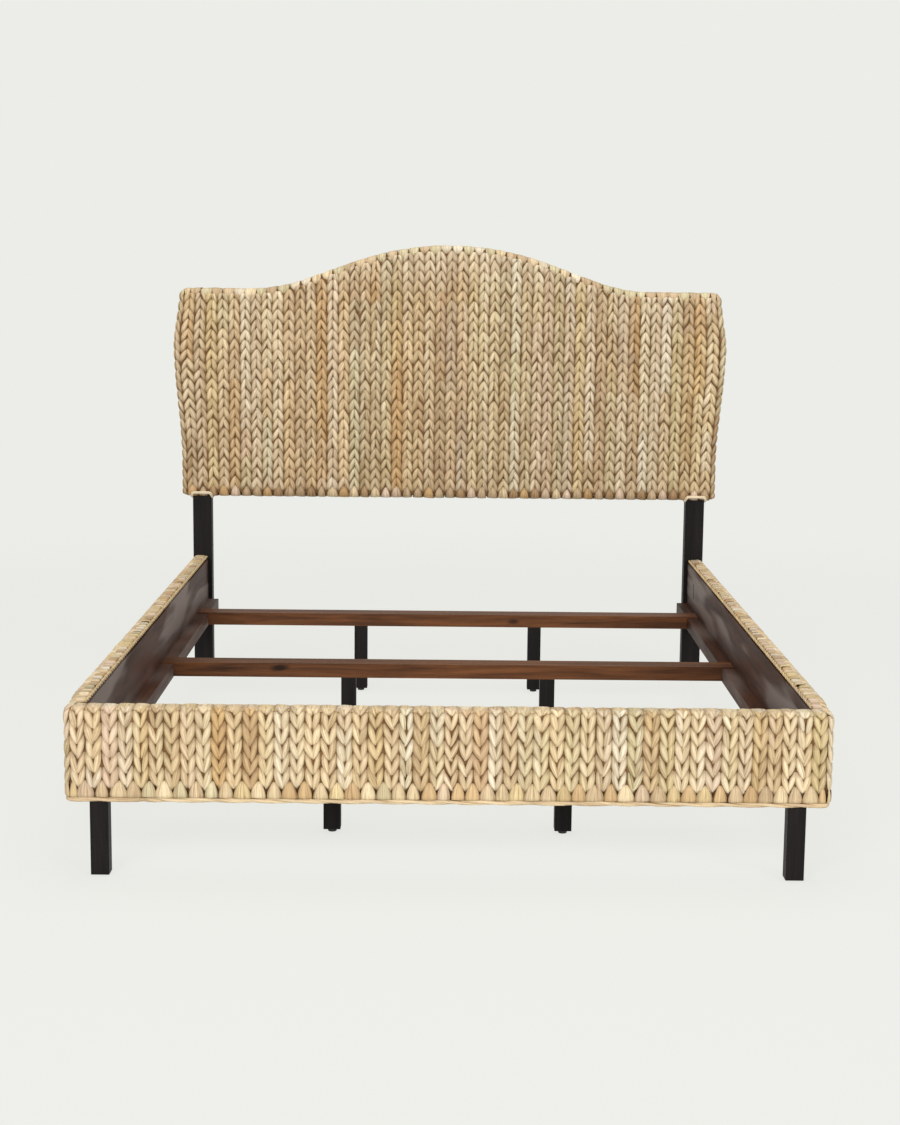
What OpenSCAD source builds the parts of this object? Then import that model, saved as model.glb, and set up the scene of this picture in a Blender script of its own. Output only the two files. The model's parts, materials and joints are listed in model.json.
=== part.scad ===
// Bed with a camelback, winged headboard. Its outer faces are covered with plaited leaf fibre,
// its inner faces are stained wood, and three slats on six centre legs carry the mattress.
// The origin is on the floor under the middle of the bed, +Y points to the head, +Z up.

/* [Mattress space] */
// Clear width between the two side rails
inner_w = 1560; // [1200:5:1960]
// Clear length from the footboard's lining to the rear posts
inner_l = 2087; // [1900:1:2200]

/* [Footboard] */
// Height of the woven top edge of the footboard
top_z = 377; // [350:1:420]
// Height of the lowest edge of the footboard and side rails
low_z = 168; // [120:1:185]
// Depth of the wooden frame inside the footboard
foot_frame_d = 38; // [30:1:50]
// Height of the rails of the footboard's frame
foot_rail_h = 38; // [25:1:60]
// Thickness of the lining board behind the footboard
lining_t = 4; // [3:0.5:8]
// How far the footboard reaches outside each rail's inner face
foot_side = 47; // [42:1:80]

/* [Side rails] */
// Thickness of a side rail's board
board_t = 24; // [18:1:32]
// Thickness of the battens that build a side rail out
batten_t = 12; // [10:1:30]
// Height of a batten
batten_h = 40; // [25:1:70]
// How much higher the side rails stand than the footboard
rail_rise = 9; // [0:1:15]
// Radius of the woven outer top edges of the side rails
rail_edge_r = 22; // [8:1:24]

/* [Cleats and slats] */
// Width of a cleat, from the rail's board inwards
cleat_w = 33; // [24:1:45]
// Height of a cleat
cleat_h = 36; // [30:1:45]
// Height of a cleat's underside
cleat_z = 206; // [190:1:250]
// Depth of the notches that the slats drop into
notch_depth = 18; // [10:1:24]
// Front to back size of a slat
slat_d = 67; // [50:1:90]
// Height of a slat
slat_h = 38.5; // [30:0.5:45]
// Height of a slat's underside above that of the cleats
slat_lift = 1; // [0:0.5:4]
// Clear length from the lining to the first slat
slat_start = 292; // [150:1:400]
// Clear length from the last slat to the rear posts
slat_end = 204; // [100:1:300]
// Play between a slat and what it fits into
slat_play = 1; // [0.5:0.5:3]

/* [Legs] */
// Side of a square front leg
front_leg = 40; // [30:1:50]
// Gap from a front leg's outer face to the plane of the rail's inner face
front_leg_in = 5.5; // [0:0.5:20]
// Width of a rear post
post_w = 60; // [45:1:70]
// Depth of a rear post
post_d = 45; // [35:1:60]
// How far the middle of a rear post lies outside the rail's inner face
post_out = 17; // [5:1:20]
// Side of a square centre leg
centre_leg = 40; // [30:0.5:50]
// Distance of the centre legs from the middle of the bed
centre_leg_x = 271; // [150:1:450]
// Rounding of the long edges of legs and posts
leg_edge = 2; // [1:0.5:4]

/* [Feet] */
// Height of the nailed glides under the front legs and rear posts
glide_h = 3; // [2:0.5:6]
// Diameter of these glides
glide_d = 22; // [16:1:28]
// Diameter of a levelling foot's disc
foot_d = 21; // [16:1:30]
// Height of a levelling foot's disc
foot_h = 8.6; // [4:0.1:10]
// Diameter of a levelling foot's threaded stem
stem_d = 8; // [6:0.5:10]
// Length of a levelling foot's stem
stem_l = 40; // [30:1:60]
// Outer diameter of the threaded sleeve in a centre leg
sleeve_d = 12; // [11:0.5:16]
// Length of that sleeve
sleeve_l = 20; // [12:1:30]
// Gap between a foot's disc and the centre leg when screwed right in
foot_gap = 0.4; // [0.2:0.1:1]

/* [Headboard] */
// How far the headboard reaches outside each rear post
head_side = 32; // [26:1:60]
// Height of the headboard's lower edge
head_z = 581; // [480:1:640]
// Height of the top of the crown
crown_z = 1384; // [1300:1:1500]
// Height of the shoulders at both sides
shoulder_z = 1243; // [1180:1:1290]
// Width of the level shoulder at each side of the crown
shoulder_w = 220; // [180:5:400]
// Radius of the outer top corners
corner_r = 25; // [18:1:40]
// Radius of the woven front edges of the headboard
front_r = 16; // [6:1:18]
// Radius of the woven back edges of the headboard
back_r = 8; // [4:1:10]
// Height at which the wings reach furthest
wing_z = 1060; // [950:5:1120]
// Height at which the wings begin
wing_low = 700; // [620:5:800]
// How far the wings curl forward
wing_forward = 45; // [15:1:60]
// How far the wings spread sideways
wing_flare = 16; // [4:1:25]
// How far the back of the wings curls forward
wing_back = 62; // [30:1:66]
// Share of the wing that is gone again at the shoulder
wing_fade = 0.9; // [0.6:0.05:1]
// Width of the bent zone at each side of the headboard
fan_w = 160; // [120:5:360]
// Thickness of the back panel
panel_t = 6; // [4:0.5:9]
// How far the woven edge stands behind the back panel
back_lip = 7; // [5:0.5:12]
// Height of the rails of the headboard's frame
head_rail_h = 60; // [40:1:90]
// Width of an inner stile of the headboard's frame
stile_w = 50; // [35:1:80]
// Distance of the inner stiles from the middle of the bed
stile_x = 256; // [150:1:450]

/* [Weave and cords] */
// Thickness of the plaited layer on the footboard and side rails
weave_t = 12.7; // [9:0.1:16]
// Thickness of the plaited layer on the headboard
head_weave_t = 14.7; // [10:0.1:18]
// Clearance between a plaited layer and what it covers
weave_gap = 0.3; // [0.2:0.1:0.6]
// Radius of the woven top edges of the footboard
edge_r = 12; // [6:1:12]
// Radius of the footboard's upright corners
plan_r = 20; // [14:1:26]
// Diameter of the twisted cord along the lower edges
hem_cord = 12; // [8:0.5:13]
// Diameter of the cord along the inner top edges
edge_cord = 9; // [6:0.5:11]
// Diameter of the cord round the back panel
back_cord = 6.5; // [4:0.5:6.5]
// Diameter of the strand round each rear post
post_cord = 7; // [5:0.5:9]

/* [Hardware] */
// Width of the hook plates and slot plates
plate_w = 22; // [16:1:23]
// Height of these plates
plate_h = 120; // [100:1:140]
// Thickness of these plates
plate_t = 3; // [2:0.5:3.5]
// Height of the lower edge of these plates
plate_z = 232; // [210:1:235]
// Thickness of a hook
hook_t = 3; // [2:0.5:4]
// Reach of a hook beyond the joint
hook_reach = 11; // [9:0.5:14]
// Distance between the two hooks of a plate
hook_pitch = 60; // [50:1:70]
// Diameter of the wood screws
screw_d = 4.5; // [3.5:0.5:6]
// Length of the screws that hold the slats and cleats
screw_l = 38; // [30:1:50]
// Number of screws in a cleat between two slats
cleat_screws_n = 2; // [1:1:4]
// Diameter of the double-ended screws on top of the centre legs
dowel_d = 8; // [6:0.5:10]
// Length of a double-ended screw in the leg and again in the slat
dowel_l = 30; // [15:1:32]

/* [Hidden] */
$fn = 48;

// Running clearance on the radius of a pin or stem in its hole
fit = 0.05;
// Overrun of a cut past the face that it opens
over = 1;

// Planes along the bed, from the foot to the head
total_l = weave_t + weave_gap + foot_frame_d + lining_t + inner_l + post_d + panel_t + back_lip;
y_front = -total_l / 2;
y_core = y_front + weave_t + weave_gap;
y_lining = y_core + foot_frame_d;
y_in = y_lining + lining_t;
y_post = y_in + inner_l;
y_head = y_post - head_weave_t - weave_gap;
y_panel = y_post + post_d;
y_back = y_panel + panel_t + back_lip;

// Planes across the bed, from the middle outwards
x_in = inner_w / 2;
x_cleat = x_in - cleat_w;
x_leg = x_in - front_leg_in - front_leg / 2;
x_post = x_in + post_out;
x_post_out = x_post + post_w / 2;
x_head = x_post_out + head_side;
fan_x = x_head - fan_w;
hump_w = x_head - shoulder_w;
x_batten = x_in + board_t;
x_core = x_batten + batten_t;
x_rail = x_core + weave_gap + weave_t;
x_foot = x_in + foot_side;
x_foot_core = x_foot - weave_t - weave_gap;

// Heights
core_top = top_z - weave_t - weave_gap;
rail_top = top_z + rail_rise;
rail_core_top = core_top + rail_rise;
core_low = low_z + 2;
weave_low = low_z + hem_cord;
cleat_top = cleat_z + cleat_h;
notch_z = cleat_top - notch_depth;
slat_z = cleat_z + slat_lift;
slat_top = slat_z + slat_h;
leg_bottom = foot_h + foot_gap;
frame_inset = head_weave_t + weave_gap;
post_top = shoulder_z - frame_inset;
foot_rail_z = core_top - foot_rail_h;

// Front faces of the three slats, and a centre leg's middle behind them: their faces are flush
slat_pitch = (inner_l - slat_start - slat_end - slat_d) / 2;
slat_ys = [for (k = [0:2]) y_in + slat_start + k * slat_pitch];
leg_in_slat = centre_leg / 2;

// Colours as seen
fibre = [0.86, 0.76, 0.56];
cord_tan = [0.80, 0.70, 0.48];
black_wood = [0.12, 0.11, 0.11];
dark_wood = [0.26, 0.20, 0.17];
red_wood = [0.40, 0.24, 0.14];
raw_wood = [0.72, 0.58, 0.40];
steel = [0.62, 0.62, 0.60];
black_plastic = [0.08, 0.08, 0.08];

// Puts a piece made for the right side (+X) on either side
module at_side(side) {
    mirror([side < 0 ? 1 : 0, 0, 0]) children();
}

// Box between two corners
module block(low, high) {
    translate(low) cube(high - low);
}

// Upright square bar with rounded long edges, from z0 to z1
module bar(w, d, z0, z1) {
    translate([0, 0, z0]) linear_extrude(z1 - z0) {
        square([w - 2 * leg_edge, d], center = true);
        square([w, d - 2 * leg_edge], center = true);
        for (sx = [-1, 1], sy = [-1, 1])
            translate([sx * (w / 2 - leg_edge), sy * (d / 2 - leg_edge)]) circle(leg_edge);
    }
}

// Rectangle from [0, 0] to [w, h] with its corner at [w, h] rounded
module one_round_corner(w, h, r) {
    square([w - r, h]);
    square([w, h - r]);
    translate([w - r, h - r]) circle(r);
}

// Countersunk screw along +Z with its flat head's top at the origin, the shank below
module screw(length, grow = 0) {
    head_r = screw_d + grow;
    translate([0, 0, -length]) cylinder(r = screw_d / 2 + grow, h = length);
    translate([0, 0, -screw_d / 2]) cylinder(r1 = screw_d / 2 + grow, r2 = head_r, h = screw_d / 2);
}

// Smooth step from 0 to 1
function smooth(t) = let (c = min(1, max(0, t))) c * c * (3 - 2 * c);
// Share of the full wing at a height
function wing(z) = smooth((z - wing_low) / (wing_z - wing_low))
    * (1 - wing_fade * smooth((z - wing_z) / (shoulder_z - wing_z)));
// Share of the full wing at a distance from the middle
function fan(x, start) = pow(max(0, (abs(x) - start) / (x_head - start)), 2);

// The crown falls as a round arc, a straight slope and a hollow arc with no kink between them
hump_a = 0.5;
hump_b = 0.72;
hump_m = 2 / (1 + hump_b - hump_a);
function hump_drop(s) = s < hump_a ? hump_m * s * s / (2 * hump_a)
    : s < hump_b ? hump_m * (s - hump_a / 2)
    : 1 - hump_m * (1 - s) * (1 - s) / (2 * (1 - hump_b));
function crown(x) = crown_z - (crown_z - shoulder_z) * hump_drop(min(1, abs(x) / hump_w));

// Depth lost to a rounded edge of radius r at a distance e from the edge
function round_in(e, r) = e >= r ? 0 : r - sqrt(r * r - (r - e) * (r - e));

// Columns across one half of the headboard at an inset from its woven face, and the whole row
flat_steps = 9;
fan_steps = 4;
edge_shares = [0.5, 0.12, 0];
function half_columns(inset, edge) = let (half = x_head - inset) concat(
    [for (k = [0:flat_steps]) fan_x * k / flat_steps],
    [for (k = [1:fan_steps]) fan_x + (half - edge - fan_x) * k / fan_steps],
    edge > 0 ? [for (s = edge_shares) half - edge * s] : []);
function mirrored(list) = let (n = len(list)) concat(
    [for (k = [n - 1:-1:1]) -list[k]], list);

// Heights of the grid points of one column
body_rows = 8;
function column_rows(x, inset, edge) = let (
    half = x_head - inset,
    low = head_z + inset,
    high = crown(x) - inset - round_in(half - abs(x), max(2, corner_r - inset)))
    concat(
        edge > 0 ? [for (s = [0, 0.12, 0.5]) low + edge * s] : [],
        [for (k = [0:body_rows]) low + edge + (high - low - 2 * edge) * k / body_rows],
        edge > 0 ? [for (s = edge_shares) high - edge * s] : []);

// One point of the headboard's front (face = -1) or back (face = 1), moved inwards by gap
function board_point(x, z, low, high, inset, edge, face, gap) = let (
    half = x_head - inset,
    side = x < 0 ? -1 : 1,
    r = face < 0 ? edge : edge * back_r / front_r,
    e = min(half - abs(x), high - z, z - low) * r / max(edge, 0.001),
    lost = edge > 0 ? round_in(e, r) : 0,
    curl = face < 0 ? wing_forward * fan(x, fan_x) : wing_back * fan(x, x_post_out))
    [x + side * (wing_flare * wing(z) * fan(x, fan_x) - gap),
     (face < 0 ? y_head + inset + lost : y_back - inset - lost) - curl * wing(z) - face * gap,
     min(high - gap, max(low + gap, z))];

// Body of the headboard, drawn in by inset from the woven face, edges rounded where edge > 0.
// A gap then moves all its faces inwards, so that one body fits in another of the same inset.
module headboard_body(inset, edge, gap = 0) {
    xs = mirrored(half_columns(inset, edge));
    rows = [for (x = xs) column_rows(x, inset, edge)];
    nx = len(xs);
    nz = len(rows[0]);
    points = [for (face = [-1, 1], i = [0:nx - 1], j = [0:nz - 1])
        board_point(xs[i], rows[i][j], rows[i][0], rows[i][nz - 1], inset, edge, face, gap)];
    back = nx * nz;
    front_faces = [for (i = [0:nx - 2], j = [0:nz - 2]) let (a = i * nz + j)
        each [[a, a + 1, a + nz + 1], [a, a + nz + 1, a + nz]]];
    back_faces = [for (f = front_faces) [f[0] + back, f[2] + back, f[1] + back]];
    left = [for (j = [0:nz - 2]) each
        [[back + j, back + j + 1, j + 1], [back + j, j + 1, j]]];
    far = (nx - 1) * nz;
    right = [for (f = left) [f[0] + far, f[2] + far, f[1] + far]];
    low = [for (i = [0:nx - 2]) let (a = i * nz, b = a + nz) each
        [[b, b + back, a + back], [b, a + back, a]]];
    high = [for (f = low) [f[0] + nz - 1, f[2] + nz - 1, f[1] + nz - 1]];
    polyhedron(points, concat(front_faces, back_faces, left, right, low, high));
}

// Outline of the crown between two distances from the middle, at a drop below it
function crown_line(half, drop) = [for (x = mirrored(concat(
    [for (x = half_columns(0, 0)) if (x < half) x], [half]))) [x, crown(x) - drop]];

// Flat board in the headboard's plane, from y0 to y1, with the outline given as [x, z]
module upright_board(outline, y0, y1) {
    translate([0, y1, 0]) rotate([90, 0, 0]) linear_extrude(y1 - y0) polygon(outline);
}

// Outline of the back panel, grown by a clearance
function panel_outline(grow) = concat(
    [[x_post_out + grow, head_z + frame_inset - grow],
     [-x_post_out - grow, head_z + frame_inset - grow]],
    crown_line(x_post_out + grow, frame_inset - grow));

// Places of the screws that hold the back panel, as [x, z]
panel_screw_ins = 20;
panel_screw_rows = 4;
function panel_screw_places() = concat(
    [for (side = [-1, 1], k = [0:panel_screw_rows - 1]) [side * x_post,
        head_z + frame_inset + panel_screw_ins
        + k * (post_top - head_z - frame_inset - 2 * panel_screw_ins) / (panel_screw_rows - 1)]],
    [for (x = [-stile_x, 0, stile_x]) [x, head_z + frame_inset + head_rail_h / 2]],
    [for (x = [-stile_x, 0, stile_x]) [x, crown(x) - frame_inset - head_rail_h / 2]]);
panel_screw_l = 25;

module panel_screws_at(grow = 0) {
    for (p = panel_screw_places())
        translate([p[0], y_panel + panel_t, p[1]]) rotate([-90, 0, 0]) screw(panel_screw_l, grow);
}

// Hook plate and slot plate, joint plane at y = 0, rail towards -Y, post towards +Y
arm_h = 16;
finger_drop = 9;
slot_h = 26;
hook_low = (plate_h - hook_pitch - arm_h) / 2;
module hooks() {
    for (k = [0, 1]) translate([-hook_t / 2, 0, plate_z + hook_low + k * hook_pitch])
        rotate([90, 0, 90]) linear_extrude(hook_t) polygon([
            [-plate_t, 0], [plate_t + 0.4, 0], [plate_t + 0.4, -finger_drop],
            [hook_reach, -finger_drop + 3], [hook_reach, arm_h - 4], [-plate_t, arm_h]]);
}
module hook_plate() {
    block([-plate_w / 2, -plate_t, plate_z], [plate_w / 2, 0, plate_z + plate_h]);
    hooks();
}
module plate_slots() {
    for (k = [0, 1]) translate([0, 0, plate_z + hook_low + k * hook_pitch])
        block([-hook_t / 2 - 0.6, -over, 0], [hook_t / 2 + 0.6, plate_t + over, slot_h]);
}
module slot_plate() {
    difference() {
        block([-plate_w / 2, 0, plate_z], [plate_w / 2, plate_t, plate_z + plate_h]);
        plate_slots();
    }
}
// Space that a slot plate and the hooks behind it need in the wood
module slot_plate_pocket() {
    block([-plate_w / 2, -over, plate_z], [plate_w / 2, plate_t, plate_z + plate_h]);
    for (k = [0, 1]) translate([0, 0, plate_z + hook_low + k * hook_pitch])
        block([-hook_t, 0, -finger_drop - 2], [hook_t, hook_reach + 3, slot_h]);
}
// Places a hook or slot plate at the head end or the foot end of the right rail
module at_head_joint() {
    translate([x_in + board_t / 2, y_post, 0]) children();
}
module at_foot_joint() {
    translate([x_in + board_t / 2, y_in, 0]) rotate([0, 0, 180]) children();
}

// Nailed glide, its lower face on the floor
nail_d = 3;
nail_l = 14;
module glide(grow = 0) {
    translate([0, 0, grow > 0 ? glide_h - over : 0])
        cylinder(d = nail_d + 2 * grow, h = nail_l + glide_h);
    if (grow == 0) {
        translate([0, 0, 1]) cylinder(d = glide_d, h = glide_h - 1);
        cylinder(d1 = glide_d - 2, d2 = glide_d, h = 1);
    }
}

module rear_post(side) {
    color(black_wood) at_side(side) difference() {
        translate([x_post, y_post + post_d / 2, 0]) bar(post_w, post_d, glide_h, post_top);
        at_head_joint() slot_plate_pocket();
        translate([x_post, y_post + post_d / 2, 0]) glide(fit);
        panel_screws_at(fit);
    }
}

module headboard_top_rail() {
    half = x_post - post_w / 2;
    upper = crown_line(half, frame_inset);
    lower = crown_line(half, frame_inset + head_rail_h);
    color(raw_wood) difference() {
        upright_board(concat(upper, [for (k = [len(lower) - 1:-1:0]) lower[k]]), y_post, y_panel);
        panel_screws_at(fit);
    }
}

module headboard_bottom_rail() {
    half = x_post - post_w / 2;
    color(raw_wood) difference() {
        block([-half, y_post, head_z + frame_inset],
            [half, y_panel, head_z + frame_inset + head_rail_h]);
        panel_screws_at(fit);
    }
}

module headboard_stile(side) {
    low = head_z + frame_inset + head_rail_h;
    drop = frame_inset + head_rail_h;
    a = stile_x - stile_w / 2;
    b = stile_x + stile_w / 2;
    xs = concat([a], [for (x = half_columns(0, 0)) if (x > a && x < b) x], [b]);
    color(raw_wood) at_side(side)
        upright_board(concat([[b, low], [a, low]], [for (x = xs) [x, crown_on_line(x) - drop]]),
            y_post, y_panel);
}
// Height of the crown's outline between two of its points, where a stile's top meets the rail
function crown_on_line(x) = let (step = fan_x / flat_steps, k = floor(x / step), t = x / step - k)
    crown(k * step) * (1 - t) + crown((k + 1) * step) * t;

module wing_board(side) {
    color(raw_wood) intersection() {
        headboard_body(head_weave_t, 0, weave_gap);
        at_side(side) block([x_post_out, y_head - 2 * wing_forward, head_z],
            [2 * x_head, y_panel, shoulder_z + over]);
    }
}

module headboard_back_panel() {
    color(dark_wood) difference() {
        upright_board(panel_outline(0), y_panel, y_panel + panel_t);
        panel_screws_at(fit);
    }
}

module back_panel_screws() {
    color(steel) panel_screws_at();
}

module headboard_weave() {
    color(fibre) difference() {
        headboard_body(0, front_r);
        headboard_body(head_weave_t, 0);
        upright_board(panel_outline(weave_gap), y_post + over, y_back + over);
        for (side = [-1, 1]) at_side(side)
            translate([x_post, y_post + post_d / 2, 0])
                bar(post_w + 2 * weave_gap, post_d + 2 * weave_gap, head_z - over, post_top);
    }
}

// Round cord swept along points [x, z] in a plane of constant y, closed on itself
cord_sides = 8;
module closed_cord(path, y, d) {
    n = len(path);
    points = [for (i = [0:n - 1]) let (
        before = path[(i + n - 1) % n],
        after = path[(i + 1) % n],
        along = (after - before) / norm(after - before),
        across = [along[1], -along[0]])
        for (k = [0:cord_sides - 1]) let (a = 360 * (k + 0.5) / cord_sides)
            [path[i][0] + d / 2 * cos(a) * across[0], y + d / 2 * sin(a),
             path[i][1] + d / 2 * cos(a) * across[1]]];
    faces = [for (i = [0:n - 1], k = [0:cord_sides - 1]) let (
        a = i * cord_sides + k,
        b = i * cord_sides + (k + 1) % cord_sides,
        c = ((i + 1) % n) * cord_sides + (k + 1) % cord_sides,
        e = ((i + 1) % n) * cord_sides + k)
        each [[a, b, c], [a, c, e]]];
    polyhedron(points, faces);
}

// Middle line of the cord round the back panel, clear of the woven edge
cord_bend = 12;
function back_cord_path() = let (
    drop = frame_inset + back_cord / 2 + weave_gap,
    half = x_post_out - back_cord / 2 - weave_gap,
    low = head_z + drop,
    top = crown_line(half - cord_bend, drop),
    turn = [for (a = [22.5:22.5:67.5]) cord_bend * [sin(a), 1 - cos(a)]])
    concat(top,
        [for (t = turn) [half - cord_bend + t[0], crown(half) - drop - t[1]]],
        [[half, crown(half) - drop - cord_bend], [half, low + cord_bend]],
        [for (k = [2:-1:0]) [half - cord_bend + turn[k][0], low + turn[k][1]]],
        [[half - cord_bend, low], [-half + cord_bend, low]],
        [for (t = turn) [-half + cord_bend - t[0], low + t[1]]],
        [[-half, low + cord_bend], [-half, crown(half) - drop - cord_bend]],
        [for (k = [2:-1:0]) [-half + cord_bend - turn[k][0], crown(half) - drop - turn[k][1]]]);

module headboard_back_cord() {
    color(cord_tan) closed_cord(back_cord_path(), y_panel + panel_t + weave_gap + back_cord / 2, back_cord);
}

// Strand laid round a post as a rounded rectangle, w by d inside
module cord_ring(w, d, cord, bend) {
    for (s = [-1, 1]) {
        translate([-w / 2 + bend, s * (d + cord) / 2, 0]) rotate([0, 90, 0])
            cylinder(d = cord, h = w - 2 * bend);
        translate([s * (w + cord) / 2, d / 2 - bend, 0]) rotate([90, 0, 0])
            cylinder(d = cord, h = d - 2 * bend);
    }
    for (k = [0:3]) let (sx = [1, -1, -1, 1][k], sy = [1, 1, -1, -1][k])
        translate([sx * (w / 2 - bend), sy * (d / 2 - bend), 0]) rotate([0, 0, 90 * k])
            rotate_extrude(angle = 90) translate([bend + cord / 2, 0]) circle(d = cord);
}

module post_cords() {
    bend = leg_edge + 1;
    color(cord_tan) for (side = [-1, 1]) at_side(side)
        translate([x_post, y_post + post_d / 2, head_z - weave_gap - post_cord / 2])
            cord_ring(post_w + 2 * weave_gap, post_d + 2 * weave_gap, post_cord, bend);
}

module front_leg_post(side) {
    color(black_wood) at_side(side) difference() {
        translate([x_leg, y_lining - foot_frame_d / 2, 0])
            bar(front_leg, foot_frame_d, glide_h, foot_rail_z);
        translate([x_leg, y_lining - foot_frame_d / 2, 0]) glide(fit);
    }
}

module footboard_top_rail() {
    color(raw_wood) difference() {
        block([-x_foot_core, y_core, foot_rail_z], [x_foot_core, y_lining, core_top]);
        for (side = [-1, 1]) at_side(side) at_foot_joint() slot_plate_pocket();
    }
}

module footboard_bottom_rail() {
    half = x_leg - front_leg / 2;
    color(raw_wood) block([-half, y_core, core_low], [half, y_lining, core_low + foot_rail_h]);
}

module footboard_block(side) {
    color(raw_wood) at_side(side) difference() {
        block([x_leg + front_leg / 2, y_core, core_low], [x_foot_core, y_lining, foot_rail_z]);
        at_foot_joint() slot_plate_pocket();
    }
}

module footboard_lining() {
    color(dark_wood) difference() {
        block([-x_foot_core, y_lining, core_low], [x_foot_core, y_in, core_top]);
        for (side = [-1, 1]) at_side(side) at_foot_joint() slot_plate_pocket();
    }
}

// Plan of the footboard's woven cover, rounded at both front corners
module foot_plan() {
    for (side = [-1, 1]) scale([side, 1]) translate([0, y_in]) scale([1, -1])
        one_round_corner(x_foot, y_in - y_front, plan_r);
}

// Cross-section of a woven cover: w wide, h high, with both top corners rounded
module cover_section(w, h, r) {
    translate([w / 2, 0]) for (side = [-1, 1]) scale([side, 1]) one_round_corner(w / 2, h, r);
}

module footboard_weave() {
    depth = y_in - y_front;
    cord_room = edge_cord + weave_gap;
    color(fibre) difference() {
        intersection() {
            translate([0, 0, weave_low]) linear_extrude(top_z - weave_low) foot_plan();
            translate([-x_foot, y_front, weave_low]) rotate([90, 0, 90])
                linear_extrude(2 * x_foot) cover_section(depth, top_z - weave_low, edge_r);
        }
        block([-x_foot_core - weave_gap, y_core - weave_gap, weave_low - over],
            [x_foot_core + weave_gap, y_in + over, core_top + weave_gap]);
        block([-x_foot_core - weave_gap, y_in - cord_room, core_top],
            [x_foot_core + weave_gap, y_in + over, top_z + over]);
    }
}

module footboard_cords() {
    z = weave_low - hem_cord / 2;
    y = y_core - weave_gap - hem_cord / 2;
    x = x_foot_core + weave_gap + hem_cord / 2;
    bend = hem_cord / 2 + 2 * weave_gap;
    color(cord_tan) {
        translate([-x + bend, y, z]) rotate([0, 90, 0]) cylinder(d = hem_cord, h = 2 * (x - bend));
        for (side = [-1, 1]) at_side(side) {
            translate([x, y + bend, z]) rotate([-90, 0, 0])
                cylinder(d = hem_cord, h = y_in - weave_gap - y - bend);
            translate([x - bend, y + bend, z]) rotate([0, 0, -90])
                rotate_extrude(angle = 90) translate([bend, 0]) circle(d = hem_cord);
        }
        translate([-x_foot_core, y_in - edge_cord / 2, core_top + weave_gap + edge_cord / 2])
            rotate([0, 90, 0]) cylinder(d = edge_cord, h = 2 * x_foot_core);
    }
}

module rail_board(side) {
    color(dark_wood) at_side(side) difference() {
        block([x_in, y_in, core_low], [x_batten, y_post, rail_core_top]);
        for (y = cleat_screw_ys()) translate([x_cleat, y, cleat_z + cleat_h / 2])
            rotate([0, -90, 0]) screw(screw_l + over, fit);
        at_head_joint() block([-plate_w / 2, -plate_t, plate_z], [plate_w / 2, over, plate_z + plate_h]);
        at_foot_joint() block([-plate_w / 2, -plate_t, plate_z], [plate_w / 2, over, plate_z + plate_h]);
    }
}

module rail_battens(side) {
    color(raw_wood) at_side(side) {
        block([x_batten, y_in, core_low], [x_core, y_post, core_low + batten_h]);
        block([x_batten, y_in, rail_core_top - batten_h], [x_core, y_post, rail_core_top]);
    }
}

module rail_weave(side) {
    w = x_rail - x_in;
    h = rail_top - weave_low;
    color(fibre) at_side(side) translate([x_in, y_post - weave_gap, weave_low]) rotate([90, 0, 0])
        linear_extrude(y_post - y_in - 2 * weave_gap) difference() {
            one_round_corner(w, h, rail_edge_r);
            translate([-over, -over])
                square([x_core + weave_gap - x_in + over, rail_core_top + weave_gap - weave_low + over]);
            translate([-over, -over]) square([edge_cord + weave_gap + over, h + 2 * over]);
        }
}

module rail_cords(side) {
    run = y_post - y_in - 2 * weave_gap;
    color(cord_tan) at_side(side) {
        translate([x_core + weave_gap + hem_cord / 2, y_in + weave_gap, weave_low - hem_cord / 2])
            rotate([-90, 0, 0]) cylinder(d = hem_cord, h = run);
        translate([x_in + edge_cord / 2, y_in + weave_gap, rail_core_top + weave_gap + edge_cord / 2])
            rotate([-90, 0, 0]) cylinder(d = edge_cord, h = run);
    }
}

// Places of the screws along a cleat: between the slats, and one beyond the slats at each end
function cleat_screw_ys() = concat(
    [y_in + slat_start / 2],
    [for (s = [0, 1], k = [1:cleat_screws_n])
        slat_ys[s] + slat_d + k * (slat_pitch - slat_d) / (cleat_screws_n + 1)],
    [y_post - slat_end / 2]);

module cleat(side) {
    color(dark_wood) at_side(side) difference() {
        block([x_cleat, y_in, cleat_z], [x_in, y_post, cleat_top]);
        for (y = slat_ys)
            block([x_cleat - over, y - slat_play, notch_z],
                [x_in + over, y + slat_d + slat_play, cleat_top + over]);
        for (y = cleat_screw_ys()) translate([x_cleat, y, cleat_z + cleat_h / 2])
            rotate([0, -90, 0]) screw(screw_l + over, fit);
        slat_screw_set(fit);
    }
}

module cleat_screws() {
    color(steel) for (side = [-1, 1]) at_side(side)
        for (y = cleat_screw_ys()) translate([x_cleat, y, cleat_z + cleat_h / 2])
            rotate([0, -90, 0]) screw(screw_l);
}

// Screws through the slats' tongues into the right cleat
module slat_screw_set(grow = 0) {
    for (y = slat_ys) translate([x_in - cleat_w / 2, y + slat_d / 2, slat_top])
        screw(screw_l, grow);
}

module slat_screws() {
    color(steel) for (side = [-1, 1]) at_side(side) slat_screw_set();
}

module slat(k) {
    y = slat_ys[k];
    body = x_cleat - slat_play;
    color(red_wood) difference() {
        union() {
            block([-body, y, slat_z], [body, y + slat_d, slat_top]);
            block([-x_in + slat_play, y, notch_z], [x_in - slat_play, y + slat_d, slat_top]);
        }
        for (side = [-1, 1]) at_side(side) {
            slat_screw_set(fit);
            translate([centre_leg_x, y + leg_in_slat, slat_z - over])
                cylinder(d = dowel_d + 2 * fit, h = dowel_l + over);
        }
    }
}

// Hole up a centre leg for the sleeve and the stem
module leveller_hole() {
    cylinder(d = sleeve_d + 2 * fit, h = leg_bottom + sleeve_l);
    cylinder(d = stem_d + 2, h = foot_h + stem_l + 3);
}

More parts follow.
